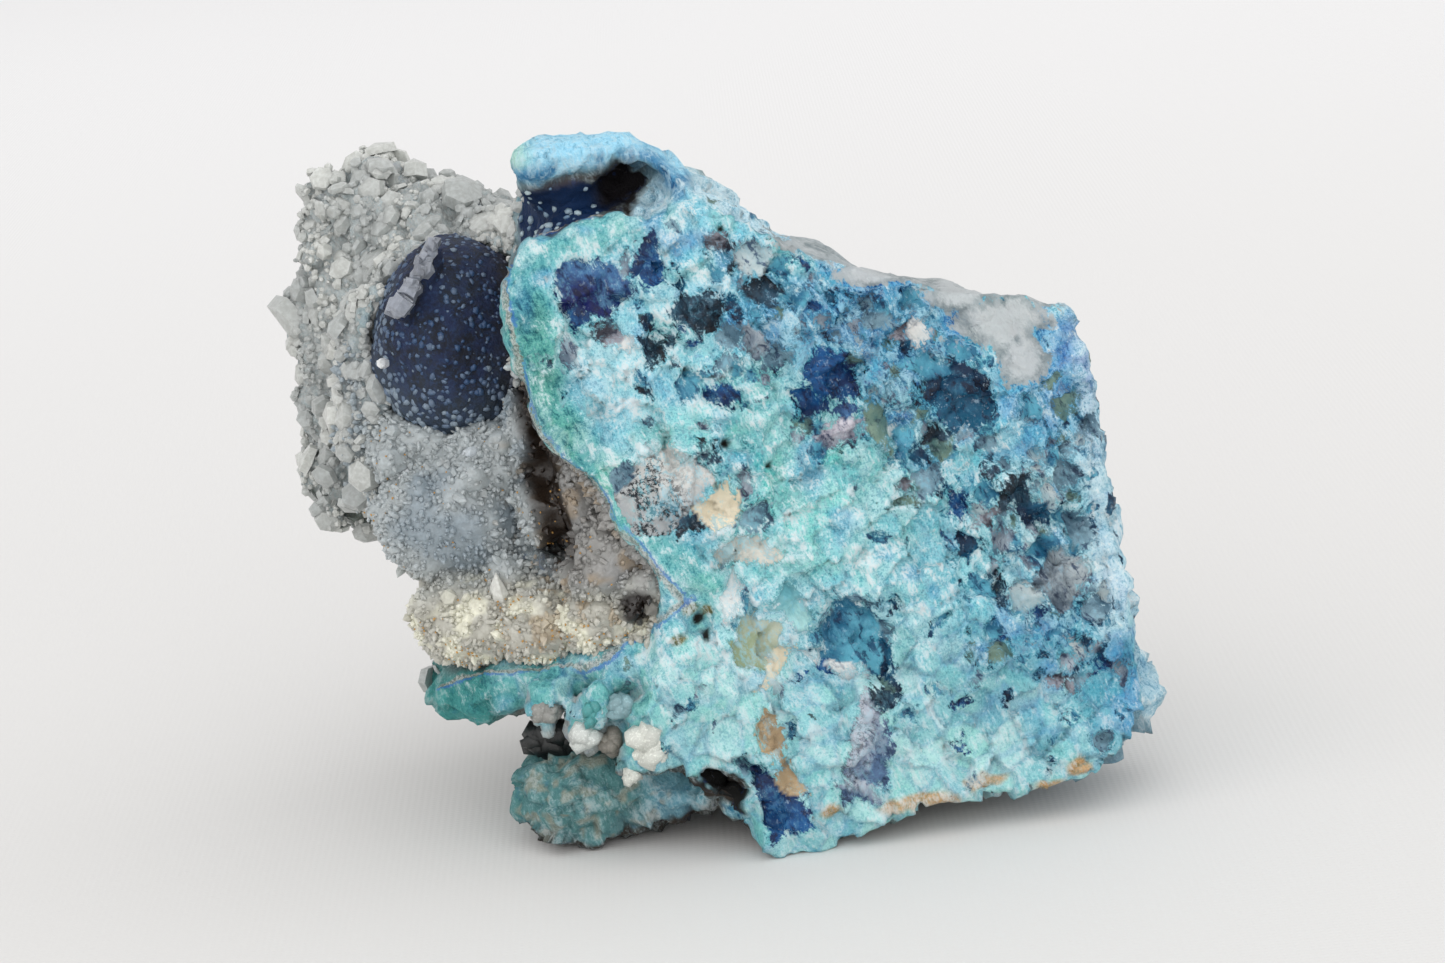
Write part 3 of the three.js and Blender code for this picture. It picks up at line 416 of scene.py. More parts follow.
def facets(points, size, seed, steep=0.5):
    """Heights of small crystal faces: each cell is a plane with a random tilt, cut down by its
    distance from the cell's middle, so that the cells meet in sharp valleys."""
    near, following, own, arm = cells(points, size, seed)
    turn = own * 2 * math.pi * 7
    tilt = np.stack([np.cos(turn), np.sin(turn * 1.7), np.sin(turn)], axis=1)
    return size * (0.5 - near / size) + steep * (arm * tilt).sum(axis=1) * 0.5


def ease(value, low, high):
    """A smooth step from 0 where value is at low to 1 where it is at high."""
    t = np.clip((value - low) / (high - low), 0, 1)
    return t * t * (3 - 2 * t)


def band(value, low_out, low_in, high_in, high_out):
    """1 between the two inner values, easing to 0 at the outer ones."""
    return ease(value, low_out, low_in) * ease(value, high_out, high_in)


def reach(line, x, z, closed=True):
    """Distance in mm from each place (x, z) to a line through the given corners. For a closed line it
    is positive inside, which is where a ray to the right crosses the line an odd number of times."""
    ends = np.roll(line, -1, axis=0) if closed else line[1:]
    starts = line if closed else line[:-1]
    nearest = np.full(len(x), 1e9)
    within = np.zeros(len(x), bool)
    for (ax, az), (bx, bz) in zip(starts, ends):
        dx, dz = bx - ax, bz - az
        t = np.clip(((x - ax) * dx + (z - az) * dz) / (dx * dx + dz * dz), 0, 1)
        nearest = np.minimum(nearest, np.hypot(x - ax - t * dx, z - az - t * dz))
        if closed and az != bz:
            within ^= ((az > z) != (bz > z)) & (x < (z - az) / dz * dx + ax)
    return np.where(within, nearest, -nearest) if closed else nearest


def close_to(line, points, far, near):
    """A smooth step from 0 where a point is far from an open line to 1 where it is near."""
    return ease(reach(line, points[:, 0], points[:, 2], False), far, near)


def blot(x, z, at_x, at_z, wide, high):
    """A soft round blot: 1 in its middle, a third at its half-widths, 0 far off."""
    return np.exp(-(((x - at_x) / wide) ** 2) - ((z - at_z) / high) ** 2)


def rgb(*screen):
    return np.array(ink(*screen)[:3])


def laid(tint, layers):
    """Colours with layers laid on them in turn. A layer is its share at each point, from 0 to 1, and its
    screen colour."""
    for share, screen in layers:
        tint = tint + np.clip(share, 0, 1)[:, None] * (rgb(*screen) - tint)
    return tint


def even_copy(node, cell):
    """A closed mesh of a CAD solid with evenly spaced points: its loose triangles are merged, and it
    is rebuilt on a lattice of cubes."""
    rough = bpy.data.objects.new("rough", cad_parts[node].data.copy())
    bpy.context.scene.collection.objects.link(rough)
    work = bmesh.new()
    work.from_mesh(rough.data)
    bmesh.ops.remove_doubles(work, verts=work.verts, dist=1e-6)
    work.to_mesh(rough.data)
    work.free()
    remesh = rough.modifiers.new("even", "REMESH")
    remesh.mode = "VOXEL"
    remesh.voxel_size = cell * MM
    mesh = bpy.data.meshes.new_from_object(rough.evaluated_get(bpy.context.evaluated_depsgraph_get()))
    bpy.data.objects.remove(rough)
    mesh.materials.clear()
    return mesh


def read(items, name):
    """The vectors of that name of a mesh's points or faces, one in each row."""
    flat = np.empty(len(items) * 3, np.float32)
    items.foreach_get(name, flat)
    return flat.reshape(-1, 3)


def points_of(mesh):
    """The mesh's points as an array, in the drawing's millimetres."""
    return read(mesh.vertices, "co").astype(float) / MM - DATUM


def set_points(mesh, points):
    mesh.vertices.foreach_set("co", ((points + DATUM) * MM).astype(np.float32).ravel())
    mesh.update()


def normals_of(mesh):
    return read(mesh.vertex_normals, "vector").astype(float)


def soften(mesh, rounds, share=0.5, swell=0.53):
    """Evens a mesh out: each point moves a share of the way to the mean of its neighbours, and then
    back by a little more, which takes out facets and leaves the size."""
    pairs = np.empty(len(mesh.edges) * 2, np.int32)
    mesh.edges.foreach_get("vertices", pairs)
    a, b = pairs.reshape(-1, 2).T
    points = points_of(mesh)
    count = len(points)
    degree = np.bincount(pairs, minlength=count)[:, None]
    for _ in range(rounds):
        for step in (share, -swell):
            sums = [
                np.bincount(a, points[b, n], count) + np.bincount(b, points[a, n], count) for n in range(3)
            ]
            points = points + step * (np.stack(sums, axis=1) / degree - points)
    set_points(mesh, points)


def split_faces(mesh, chosen):
    """Cuts each chosen face in four."""
    work = bmesh.new()
    work.from_mesh(mesh)
    work.faces.ensure_lookup_table()
    edges = {edge for i in np.flatnonzero(chosen) for edge in work.faces[i].edges}
    bmesh.ops.subdivide_edges(work, edges=list(edges), cuts=1, use_grid_fill=True)
    work.to_mesh(mesh)
    work.free()


def store(mesh, name, values):
    """Keeps one number or one colour for each point of the mesh."""
    values = np.asarray(values, np.float32)
    if values.ndim == 1:
        mesh.attributes.new(name, "FLOAT", "POINT").data.foreach_set("value", values)
    else:
        opaque = np.ones((len(values), 4), np.float32)
        opaque[:, :3] = values[:, :3]
        mesh.attributes.new(name, "FLOAT_COLOR", "POINT").data.foreach_set("color", opaque.ravel())


def piece(name, mesh, material, stands_for=None, smooth=True):
    """Makes the mesh a piece of the specimen, under its own name."""
    mesh.name = name
    mesh.polygons.foreach_set("use_smooth", np.full(len(mesh.polygons), smooth))
    mesh.materials.append(material)
    made = bpy.data.objects.new(name, mesh)
    bpy.context.scene.collection.objects.link(made)
    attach(made, "root")
    if stands_for:
        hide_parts(stands_for)
    return made


def front_of(x, z):
    """y of the broken front: the slab's leaning plane and, left of the slab's lower corner, the front
    of the shelf and the lobe, which runs back to the left."""
    slab = START + LEAN * z + SKEW * x
    shelf = SHELF_START - SHELF_RUN * x
    lower_left = ease(-x, 2.0, 4.0) * ease(-z, -16.5, -14.5)
    return slab * (1 - lower_left) + np.maximum(slab, shelf) * lower_left


def shard_edges(x, z):
    """For each place, the distance to the edge of the nearest fragment of the list, negative inside
    it, that fragment's number, and the place on it. A fragment is bounded by four to seven straight
    sides whose distances from its middle differ at random."""
    pick = np.random.default_rng(5)
    best = np.full(len(x), 9.0)
    which = np.zeros(len(x), int)
    local = np.zeros((len(x), 2))
    for number, (at_x, at_z, wide, high, turn, _) in enumerate(SHARDS):
        c, s = math.cos(math.radians(turn)), math.sin(math.radians(turn))
        u = ((x - at_x) * c + (z - at_z) * s) / wide
        v = ((z - at_z) * c - (x - at_x) * s) / high
        count = pick.integers(4, 8)
        angles = (np.arange(count) + pick.uniform(-0.3, 0.3, count)) * 2 * math.pi / count
        sides = pick.uniform(0.72, 1.05, count)
        inside = np.full(len(x), -9.0)
        for angle, side in zip(angles, sides):
            inside = np.maximum(inside, u * math.cos(angle) + v * math.sin(angle) - side)
        edge = inside * min(wide, high)
        better = edge < best
        best = np.where(better, edge, best)
        which = np.where(better, number, which)
        local = np.where(better[:, None], np.stack([u, v], axis=1), local)
    return best, which, local


def clasts(points, size, seed, share):
    """Small fragments as the cells of a jittered lattice: the distance to the fragment's edge, negative
    inside it, the cell's own random number, and the place on it. A cell is a fragment where its number
    is below share."""
    near, following, own, arm = cells(points, size, seed)
    gap = 0.13 * size - (following - near) / 2
    return np.where(own < share, gap, np.maximum(gap, 0.5)), own, arm / size


def rock_mesh():
    """The rock's fine surface, and the values that its colours are made from."""
    mesh = even_copy("breccia_matrix", ROCK_CELL)
    soften(mesh, 6)
    x, y, z = (read(mesh.polygons, "center") / MM - DATUM).T
    near_front = y - front_of(x, z) < FINE_DEPTH
    split_faces(mesh, near_front & (read(mesh.polygons, "normal")[:, 1] < 0.1))
    soften(mesh, 2)
    points, normals = points_of(mesh), normals_of(mesh)
    x, y, z = points.T
    depth = y - front_of(x, z)
    slab, shelf, hood = reach(SLAB, x, z), reach(SHELF, x, z), reach(HOOD, x, z)
    face = np.maximum(slab, shelf)
    rim = np.minimum(reach(RIM, x, z, False), reach(SHELF_RIM, x, z, False))
    rim = np.where(face > 0, rim, -rim) - 1.2 * np.maximum(0, depth - 0.7)

    # How much each place belongs to the open face, the hood, the vug, the right side and the rear.
    front = ease(depth, 2.4, 1.2) * ease(normals[:, 1], 0.1, -0.25) * ease(face, -1.6, -0.4)
    other = 1 - front
    on_hood = ease(hood, -0.8, 0.2) * ease(depth, 10.0, 8.0)
    under_hood = (1 - on_hood) * ease(depth, 0.5, 1.0) * ease(y, 14.5, 13.0)
    under_hood *= ease(normals[:, 1], 0.75, 0.45) * ease(z, 31.5, 33.5)
    beside = 0.75 * (x + 3.7) - 0.66 * (z - 38.0)
    arch = under_hood * ease(beside, -0.1, 0.25) * ease(x, -5.0, -4.0)
    egg = np.linalg.norm((points - DOME_MIDDLE) / DOME_HALVES, axis=1) + 0.12 * noise(points, 1.5, 80)
    dome = under_hood * ease(egg, 1.04, 0.96)
    # The pocket: the hollow behind the arch under the hood, where painted shade colours it nearly black.
    pocket = under_hood * ease(y, 12.6, 11.4) * ease(x, -6.2, -5.2) * ease(z, 37.9, 38.5)
    pocket *= ease(depth, 1.0, 2.2) * (1 - arch)
    slit = under_hood * ease(z, 39.5, 40.1) * ease(x, -5.0, -5.6)
    vug = ease(x, -2.2, -3.4) * ease(depth, 0.5, 1.1) * band(z, 9.5, 11.5, 38.0, 40.0) * ease(y, 22.0, 17.0)
    vug *= (1 - arch) * (1 - ease(z, 28.0, 31.0) * ease(y, 11.0, 13.5))
    right = ease(x, 18.5, 21.0) * other
    below = ease(normals[:, 2], -0.3, -0.75)
    rear = ease(y, 12.0, 18.0) * other
    lobe = ease(z, 9.0, 7.0) * ease(x, -2.0, -4.5) * ease(y, 15.0, 12.5)
    tip = ease(x, -13.5, -15.5) * ease(z, 13.0, 12.0) * ease(y, 16.0, 13.0)
    hanging = band(x, -13.8, -12.6, -5.4, -4.0) * band(z, 6.2, 7.2, 10.0, 11.0) * ease(y, 14.0, 11.0)

    # Relief: broad and fine roughness everywhere, fragments and crust on the face, crystal faces
    # in the vug and on the quartz.
    broad, rough, fine = noise(points, 2.6, 1), noise(points, 1.1, 2), noise(points, 0.5, 3)
    low = ease(z, 14.0, 9.0) * front
    lift = 0.22 * broad + 0.20 * (1 - 0.3 * low) * rough + 0.17 * (1 - 0.6 * low) * fine
    bent = points + 0.35 * np.stack([noise(points, 1.3, 25 + n) for n in range(3)], axis=1)
    middle, following, block, slant = cells(bent, 1.7, 61)
    seam = following - middle
    slope = np.stack([np.sin(block * 40), np.cos(block * 23), np.sin(block * 31)], axis=1)
    crag = 0.08 * (0.85 - middle) + 0.34 * (slant * slope).sum(axis=1)
    bare = (1 - rear) * (1 - lobe) * (1 - on_hood) * (1 - under_hood + arch) * (1 - vug) * (1 - below)
    crusted = (front + other * bare) * (ease(x, -9.0, -4.0) * other + front)
    milk = np.zeros(len(x))
    for at_x, at_z, wide, high in MILK:
        milk = np.maximum(milk, blot(x, z, at_x, at_z, wide, high))
    on_top = ease(normals[:, 2], 0.35, 0.75) * ease(x + 1.6 * broad, 3.0, 5.5) * ease(x + broad, 20.5, 18.5)
    on_top *= ease(z, 28.0, 29.5) * ease(depth, 0.3, 1.2) * ease(depth + 2.0 * broad, 12.0, 8.0)
    milk = np.maximum(milk, 0.55 * on_top) + 0.16 * noise(points, 0.9, 91) * (milk > 0.02)
    flat = points.copy()
    flat[:, 1] *= 1 - 0.65 * front
    warp_x = 0.3 * noise(points, 1.2, 4) + 0.14 * noise(points, 0.45, 6)
    warp_z = 0.3 * noise(points, 1.2, 5) + 0.14 * noise(points, 0.45, 7)
    edge, which, local = shard_edges(x + warp_x, z + warp_z)
    crowd = np.zeros(len(x))
    for at_x, at_z, far, share in CROWDS:
        crowd = np.maximum(crowd, share * blot(x, z, at_x, at_z, far, far))
    warped = flat + np.stack([warp_x, np.zeros(len(x)), warp_z], axis=1)
    large, large_own, large_arm = clasts(warped, 1.9, 11, 0.55 * crowd)
    small, small_own, small_arm = clasts(warped, 1.0, 15, 0.9 * crowd + 0.06)
    own = np.where(large < small, large_own, small_own)
    arm = np.where((large < small)[:, None], large_arm, small_arm)
    small = np.where(edge < -0.1, 9.0, np.minimum(large, small))
    by_cell = small < edge
    place = np.where(by_cell[:, None], 2 * arm[:, [0, 2]], local)
    number = np.where(by_cell, own * 60, which)
    tilt = (place * np.sin(number[:, None] * [2.4, 5.1])).sum(axis=1)
    edge = np.minimum(edge, small)
    cut = ease(edge, 0.12, -0.12)
    relief = cut * (-0.22 + 0.28 * tilt) + 0.12 * np.exp(-((np.maximum(edge, 0) / 0.3) ** 2)) * (1 - cut)
    relief += (1 - cut) * (0.12 * facets(flat, 0.8, 21) - 0.3 * ease(noise(points, 1.0, 23), 0.35, 0.8))
    calm = ease(rim, 2.6, 1.6)
    relief *= 1 - 0.8 * calm
    for at_x, at_z, wide, high, deep in HOLES:
        relief -= deep * blot(x, z, at_x, at_z, wide, high)
    quartz = np.clip(rear * (1 - below * 0.4), 0, 1)
    crag *= (1 - 0.5 * calm * front) * (1 - dome) * (1 - vug * other)
    lift = (lift + crag) * (1 - 0.3 * front * calm)
    lift = (lift + front * relief) * (1 - 0.75 * ease(milk, 0.15, 0.4)) * (1 - 0.5 * on_hood)
    lift += other * (vug * 0.30 * facets(points, 0.9, 31) + 0.34 * quartz * facets(points, 2.3, 41, 1.3))
    moved = points + normals * lift[:, None]
    moved[:, 2] = np.maximum(moved[:, 2], 0.0)
    set_points(mesh, moved)

    # The crust's own colour: a mean of the stains, weighed by how near they are.
    tint, weight = rgb(*PLAIN_CRUST) * PLAIN_SHARE, np.full(len(x), PLAIN_SHARE)
    for at_x, at_z, far, screen in STAINS:
        blob = blot(x, z, at_x, at_z, far, far)
        tint = tint + blob[:, None] * rgb(*screen)
        weight += blob
    lower = ease(z, 17.0, 14.0)
    brighter = np.array([1.15, 1.34, 1.32]) + [0.20, 0.10, 0.02] * ease(x, 4.0, 8.0)[:, None]
    tint = np.clip(tint / weight[:, None] * brighter, 0, 0.92)
    tint *= 1 - np.array([0.11, 0.11, 0.20]) * (calm * front * (1 - 0.5 * lower))[:, None]
    tint *= 1 - np.array([0.09, 0.08, 0.15]) * (low + 0.4 * lower * ease(x, 1.0, -2.0) * front)[:, None]
    frost = ease(tint @ [0.21, 0.72, 0.07], 0.25, 0.75)  # paler crust is more sugary

    # The stains and the other parts' colours, each over the ones before it.
    patch = ease(noise(points, 4.0, 71) + 0.5 * noise(points, 1.7, 72), -0.1, 0.5)
    spots = ease(noise(points, 0.6, 73) + 0.5 * noise(points, 1.5, 74), 0.35, 0.6)
    middling = front * ease(x, -8.0, -4.0) * ease(x, 14.0, 8.0) * ease(z, 13.0, 17.0)
    # sunk: where painted shade colours the recess over the lobe nearly black; the holes join it below.
    sunk = close_to(SHADED_RECESS, points, 0.95, 0.6) * ease(depth, 0.5, 1.0) * ease(y, 8.0, 6.0)
    drawn = points * [1, 1, 0.3]
    fringe = ease(noise(drawn, 0.9, 76) + 0.5 * noise(drawn, 0.4, 77), -0.3, 0.4)
    bluer = ease(noise(points, 1.3, 79), 0.05, 0.6) * (0.2 + 0.4 * ease(x + z, 20.0, 30.0))
    vein = blot(x, z, 21.0, 27.6, 1.6, 2.4) * (0.55 * front + 0.5 * other) * ease(seam, 0.5, 0.1)
    layers = [
        (front * ease(block, 0.60, 0.70) * 0.3, (212, 236, 240)),
        (front * ease(block, 0.30, 0.22) * ease(x, -2.0, 4.0) * 0.25, (70, 150, 190)),
        (front * ease(z, 17, 13) * ease(seam, 0.24, 0.06) * 0.25, (96, 142, 206)),
        (middling * ease(noise(points, 1.5, 78), 0.05, 0.6) * 0.4, (108, 194, 174)),
        (front * bluer, (84, 156, 210)),
        (other, (112, 168, 184)),
        (other * ease(z, 26, 31) * ease(y, 6, 10) * patch, (166, 182, 184)),
        (rear, (196, 198, 195)),
        (rear * (1 - patch) * ease(y, 30, 20) * 0.6, (104, 164, 172)),
        (rear * ease(block, 0.55, 0.75) * 0.5, (222, 223, 220)),
        (rear * ease(block, 0.30, 0.15) * 0.5, (160, 166, 166)),
        (rear * ease(seam, 0.22, 0.05) * spots * 0.7, (150, 128, 104)),
        (ease(x, 20.6, 21.8) * front * 0.85 * ease(z, 29.5, 27.5) * ease(z, 9.0, 13.0), (206, 226, 238)),
        (vein, (68, 108, 186)),
        (right * (1 - rear) * 0.8, (182, 216, 232)),
        (other * ease(x, -9.0, -12.5) * ease(y, 12.0, 15.0), (184, 186, 184)),
        (below * other, (120, 126, 118)),
        (below * other * ease(x, 13.0, 17.0) * 0.7, (126, 168, 190)),
        (other * (1 - below) * lobe, (88, 136, 136)),
        (other * lobe * ease(x, -7.5, -5.0), (104, 154, 170)),
        (other * lobe * ease(noise(points, 0.45, 75) + 0.4 * rough, 0.25, 0.6) * 0.5, (172, 156, 132)),
        # Painted shade: the recess over the lobe's right end, nearly black.
        (sunk, (16, 16, 14)),
        # Painted shade: dark brown on the underside beneath the arch over the lobe's right end.
        (below * ease(x, 2.0, 0.0) * ease(y, 9.0, 7.0) * ease(z, 8.0, 5.0), (62, 54, 46)),
        (tip, (70, 150, 146)),
        (hanging * other, (176, 180, 178)),
        (vug * other, (126, 130, 132)),
        # Dark brown at the cleft's foot and nearly black in the cleft: rust brown darkened by painted shade.
        (vug * other * ease(x, -12.0, -9.5) * ease(z, 16.0, 18.5), (46, 36, 28)),
        (vug * other * close_to(CLEFT, points, 1.6, 0.8), (34, 25, 18)),
        (vug * other * ease(x, -12.0, -9.5) * spots * 0.6, (104, 76, 50)),
        (on_hood, (170, 228, 252)),
        (on_hood * ease(x, -8.6, -10.4), (182, 230, 214)),
        (on_hood * ease(hood, 1.3, 0.3) * ease(z, 42.0, 41.0) * fringe, (64, 132, 176)),
        # The arch's pale crust, painted paler still as painted light where the hood shades it.
        (arch, (212, 238, 248)),
        (dome, (2, 38, 78)),
        (slit, (74, 64, 58)),
        # Painted shade: the pocket under the hood, nearly black.
        (pocket, (18, 14, 18)),
    ]
    for at_x, at_z, wide, high in RUST:
        spot = ease(blot(x, z, at_x, at_z, wide, high) + 0.25 * noise(points, 0.5, 81), 0.3, 0.65)
        layers.append((spot * ease(face, -1.4, -1.0) * front, TAN if at_z < FOOT_TOP else BROWN))
    # Painted shade: each hole is coloured nearly black over its real dip, and sunk takes it in too.
    for at_x, at_z, wide, high, _ in HOLES:
        hole = ease(blot(x, z, at_x, at_z, wide, high), 0.25, 0.7) * front
        layers.append((hole, (28, 26, 20)))
        sunk = np.maximum(sunk, hole)

    # The fragments' colours: those of the list, and small ones by their cells' own numbers.
    kinds = [KINDS[kind] for *_, kind in SHARDS] + [KINDS[kind] for kind in SMALL_KINDS]
    small_kind = np.minimum((own * 97.3 % 1 * len(SMALL_KINDS)).astype(int), len(SMALL_KINDS) - 1)
    kind = np.where(by_cell, len(SHARDS) + small_kind, which)
    stone, cloud = (np.array([row[n][:3] for row in kinds])[kind] for n in (0, 1))
    gloss, speckle = (np.array([row[n] for row in kinds])[kind] for n in (2, 3))
    marks = np.maximum(crusted, 0.4 * other) * (1 - 0.15 * calm) * (1 - 0.35 * low)
    free = np.where(front > 0.02, edge, small) + 1.5 * (1 - crusted + ease(milk, 0.2, 0.4))
    kept = {
        "crust": laid(tint, layers),
        "shard": stone,
        "cloud": cloud,
        "gloss": gloss,
        "speckle": speckle * (0.25 + 0.75 * ease(place[:, 0], 0.5, -0.1)),
        "shade": 0.5 + 0.35 * (place * np.cos(number[:, None] * [3.7, 1.3])).sum(axis=1),
        "edge": free + 0.4 * calm * (edge > 0),
        "rim": np.where((front + vug + dome > 0.05) & (arch < 0.1), rim, 9.0),
        "milk": milk,
        "quartz": np.clip(quartz * 0.8 + vug * other * 0.8, 0, 1),
        "marks": marks * (1 - dome) * (1 - pocket) * (1 - sunk),
        "crowd": crowd * crusted,
        "height": (0.4 * rough + 0.6 * fine) * (1 - cut),
        "frost": frost,
        "hood": on_hood,
        "dome": dome * (1 - slit) * (1 - pocket),
    }
    for name, values in kept.items():
        store(mesh, name, values)
    return mesh


def rock_finish():
    """Crust whose hollows are deep teal and whose ridges are sugary white, in streaks and specks of
    every size; over it the rim's line, the fragments, whose edges break up into specks, and the
    milky quartz."""
    rock = Finish("breccia")
    crust = rock.value_of("crust", "Color")
    marks, crowd = rock.value_of("marks"), rock.value_of("crowd")
    patch = rock.noise(1.7, 12, 0.68, 0.5)
    wisp = rock.noise(0.55, 9, 0.70, 0.3, place=rock.stretched((1.0, 1.0, 0.42), (0.0, 0.5, 0.0)))
    fine = rock.noise(0.20, 5, 0.75, shift=4.0)
    strand = rock.noise(0.17, 4, 0.6, 0.3, place=rock.stretched((1.0, 1.0, 0.2), (0.0, 0.3, 0.0)))
    level = rock.weighed(
        (patch, 0.31), (wisp, 0.29), (strand, 0.19), (fine, 0.21), (crowd, -0.03),
        (rock.value_of("height"), 0.05), (rock.value_of("frost"), 0.05), (1.0, -0.017),
    )
    deep = rock.mix(0.30, rock.tinted(crust, crust), ink(20, 84, 136))
    colour = rock.over(crust, deep, rock.ramp(level, 0.485, 0.425), marks, 0.95)
    colour = rock.over(colour, ink(26, 70, 98), rock.ramp(level, 0.435, 0.39), marks, 0.7)
    royal = rock.ramp(rock.noise(0.9, 6, 0.7, 0.3, shift=21.0), 0.57, 0.66)
    colour = rock.over(colour, ink(46, 104, 186), royal, rock.sum(crowd, 0.2), 0.6)
    grain = rock.noise(0.11, 3, 0.7, shift=31.0)
    grain = rock.weighed((grain, 0.5), (rock.noise(0.34, 6, 0.7, 0.4, shift=37.0), 0.5))
    shadow = rock.tinted(colour, ink(140, 196, 212))
    colour = rock.over(colour, shadow, rock.ramp(grain, 0.53, 0.44), marks, 0.85)
    pale = rock.mix(0.55, crust, ink(210, 240, 246))
    pale = rock.over(pale, ink(234, 243, 245), rock.ramp(level, 0.53, 0.59))
    colour = rock.over(colour, pale, rock.ramp(level, 0.495, 0.56), marks, 0.85)

    # The rim: a thin royal blue line where the crust ends, and a pale layer beyond it.
    wobble = rock.weighed((rock.value_of("rim"), 1.0), (wisp, 0.9), (fine, 0.5))
    line = rock.times(rock.ramp(wobble, 0.66, 0.72), rock.ramp(wobble, 0.92, 0.80))
    colour = rock.over(colour, ink(64, 112, 190), line, rock.ramp(patch, 0.40, 0.52), 0.7)
    layer = rock.mix(rock.ramp(fine, 0.42, 0.58), ink(120, 108, 96), ink(206, 202, 196))
    colour = rock.over(colour, layer, rock.ramp(wobble, 0.70, 0.62), rock.ramp(wobble, 0.2, 0.45), 0.7)

    # The fragments: clouded and speckled inside, dusted with crust, and overgrown at their edges.
    gloss = rock.value_of("gloss")
    edge = rock.weighed((rock.value_of("edge"), 1.0), (wisp, 2.0), (fine, 0.7))
    inside = rock.ramp(edge, 1.42, 1.26)
    shade = rock.weighed((rock.value_of("shade"), 1.3), (patch, 2.2), (wisp, 0.6), (1.0, 0.25))
    cloud = rock.value_of("cloud", "Color")
    stone = rock.mix(rock.ramp(shade, 1.9, 2.7), rock.value_of("shard", "Color"), cloud)
    murky = rock.tinted(stone, ink(120, 134, 160))
    stone = rock.over(stone, murky, rock.ramp(wisp, 0.47, 0.38), rock.ramp(gloss, 0.2, 0.6))
    # Painted highlights: pale glints in the colour of the glossy fragments.
    painted_glint = rock.ramp(rock.noise(0.42, 6, 0.75, shift=9.0), 0.57, 0.66)
    stone = rock.over(stone, ink(176, 198, 214), painted_glint, gloss, 0.45)
    cluster = rock.times(rock.ramp(rock.noise(1.3, 3, 0.6, shift=7.0), 0.36, 0.50), rock.value_of("speckle"))
    black = rock.ramp(rock.noise(0.34, 7, 0.8, shift=5.0), 0.47, 0.54)
    stone = rock.over(stone, ink(30, 34, 40), black, cluster)
    dust = rock.mix(0.4, ink(110, 174, 204), crust)
    cover = rock.weighed((gloss, -0.5), (1.0, 0.62))
    stone = rock.over(stone, dust, rock.ramp(level, 0.51, 0.57), marks, cover)
    colour = rock.mix(inside, colour, stone)
    # Painted shade: a dark line along the edges of the fragments, which sink below the crust.
    crevice_shade = rock.times(rock.ramp(edge, 1.54, 1.40), rock.ramp(edge, 1.22, 1.34))
    colour = rock.over(colour, ink(24, 70, 100), crevice_shade, marks, 0.22)
    halo = rock.times(rock.ramp(edge, 1.90, 1.60), rock.ramp(edge, 1.46, 1.56))
    colour = rock.over(colour, ink(206, 234, 242), halo, marks, 0.30)

    # The milky quartz, clear and grey where it thins out under the crust.
    milk = rock.weighed((rock.value_of("milk"), 1.0), (wisp, 1.1), (fine, 0.3))
    clear = rock.mix(rock.ramp(patch, 0.38, 0.6), ink(132, 142, 144), ink(178, 184, 186))
    milky = rock.mix(rock.ramp(milk, 1.15, 1.45), clear, ink(198, 202, 203))
    colour = rock.over(colour, milky, rock.ramp(milk, 0.98, 1.08), 0.94)

    # The hood's fibres, and the gloss and relief of it all.
    fibre = rock.noise(0.34, 5, 0.6, 0.4, place=rock.stretched((1.0, 1.0, 0.25)))
    hood = rock.value_of("hood")
    colour = rock.over(colour, ink(196, 228, 240), rock.ramp(fibre, 0.50, 0.64), hood, 0.5)
    colour = rock.over(colour, ink(92, 160, 194), rock.ramp(fibre, 0.47, 0.36), hood, 0.5)
    glassy = rock.times(inside, gloss)
    quartz = rock.sum(rock.value_of("quartz"), rock.value_of("milk"))
    rough = rock.times(rock.ramp(glassy, 0.0, 1.0, 0.75, 0.16), rock.ramp(quartz, 0.1, 1.0, 1.0, 0.5))
    height = rock.weighed((level, 1.0), (fibre, rock.times(hood, 0.35)))
    normal = rock.bump(height, 0.85, rock.ramp(inside, 0.0, 1.0, 0.85, 0.45))
    return rock.finish(Base_Color=colour, Roughness=rough, Normal=normal, Specular_IOR_Level=0.28)


breccia = piece("breccia", rock_mesh(), rock_finish(), "breccia_matrix")

# ------------------------------------------------------------------ the shattuckite ball
# A dark blue ball of fine needles that grew free in the open vug. Small rounded grains of grey
# quartz sit on it, and a pale blade of quartz lies against its upper left.
BALL_CELL = 0.17  # mm
KNOB_CELL, KNOB_HALF = 0.55, 0.36  # mm, the fine knobs that the needles' ends make
BALL_GRAIN_CELL, DOME_GRAIN_CELL = 0.35, 0.50  # mm between the grains
BLADE_FOOT = np.array([-18.3, 8.7, 32.4])
BLADE_AXIS = np.array([0.51, 0.30, 0.81])
BLADE_LONG, BLADE_WIDE = 6.0, 0.88

ball_mesh = even_copy("shattuckite_ball", BALL_CELL)
soften(ball_mesh, 12)
ball_points, ball_normals = points_of(ball_mesh), normals_of(ball_mesh)
near, _, own, _ = cells(ball_points, KNOB_CELL, 101)
knob = np.sqrt(np.clip(1 - (near / KNOB_HALF) ** 2, 0, 1))
ball_lift = 0.10 * knob * (0.3 + own) + 0.22 * noise(ball_points, 2.2, 103) + 0.08
ball_points = ball_points + ball_normals * ball_lift[:, None]
set_points(ball_mesh, ball_points)


def ball_pale(points):
    """How far the ball's blue is veiled by grey at each point: low down, at the far left and in patches."""
    x, _, z = points.T
    veil = 0.8 * ease(z, 29.5, 25.0) + 0.5 * ease(x, -17.5, -20.5)
    return np.clip(veil + 0.3 * noise(points, 2.4, 105), 0, 1)


def ball_rust(points):
    """How rusty the ball is at each point: on its right side, in patches."""
    return ease(points[:, 0], -13.2, -10.8) * ease(noise(points, 1.8, 107), -0.5, 0.2)


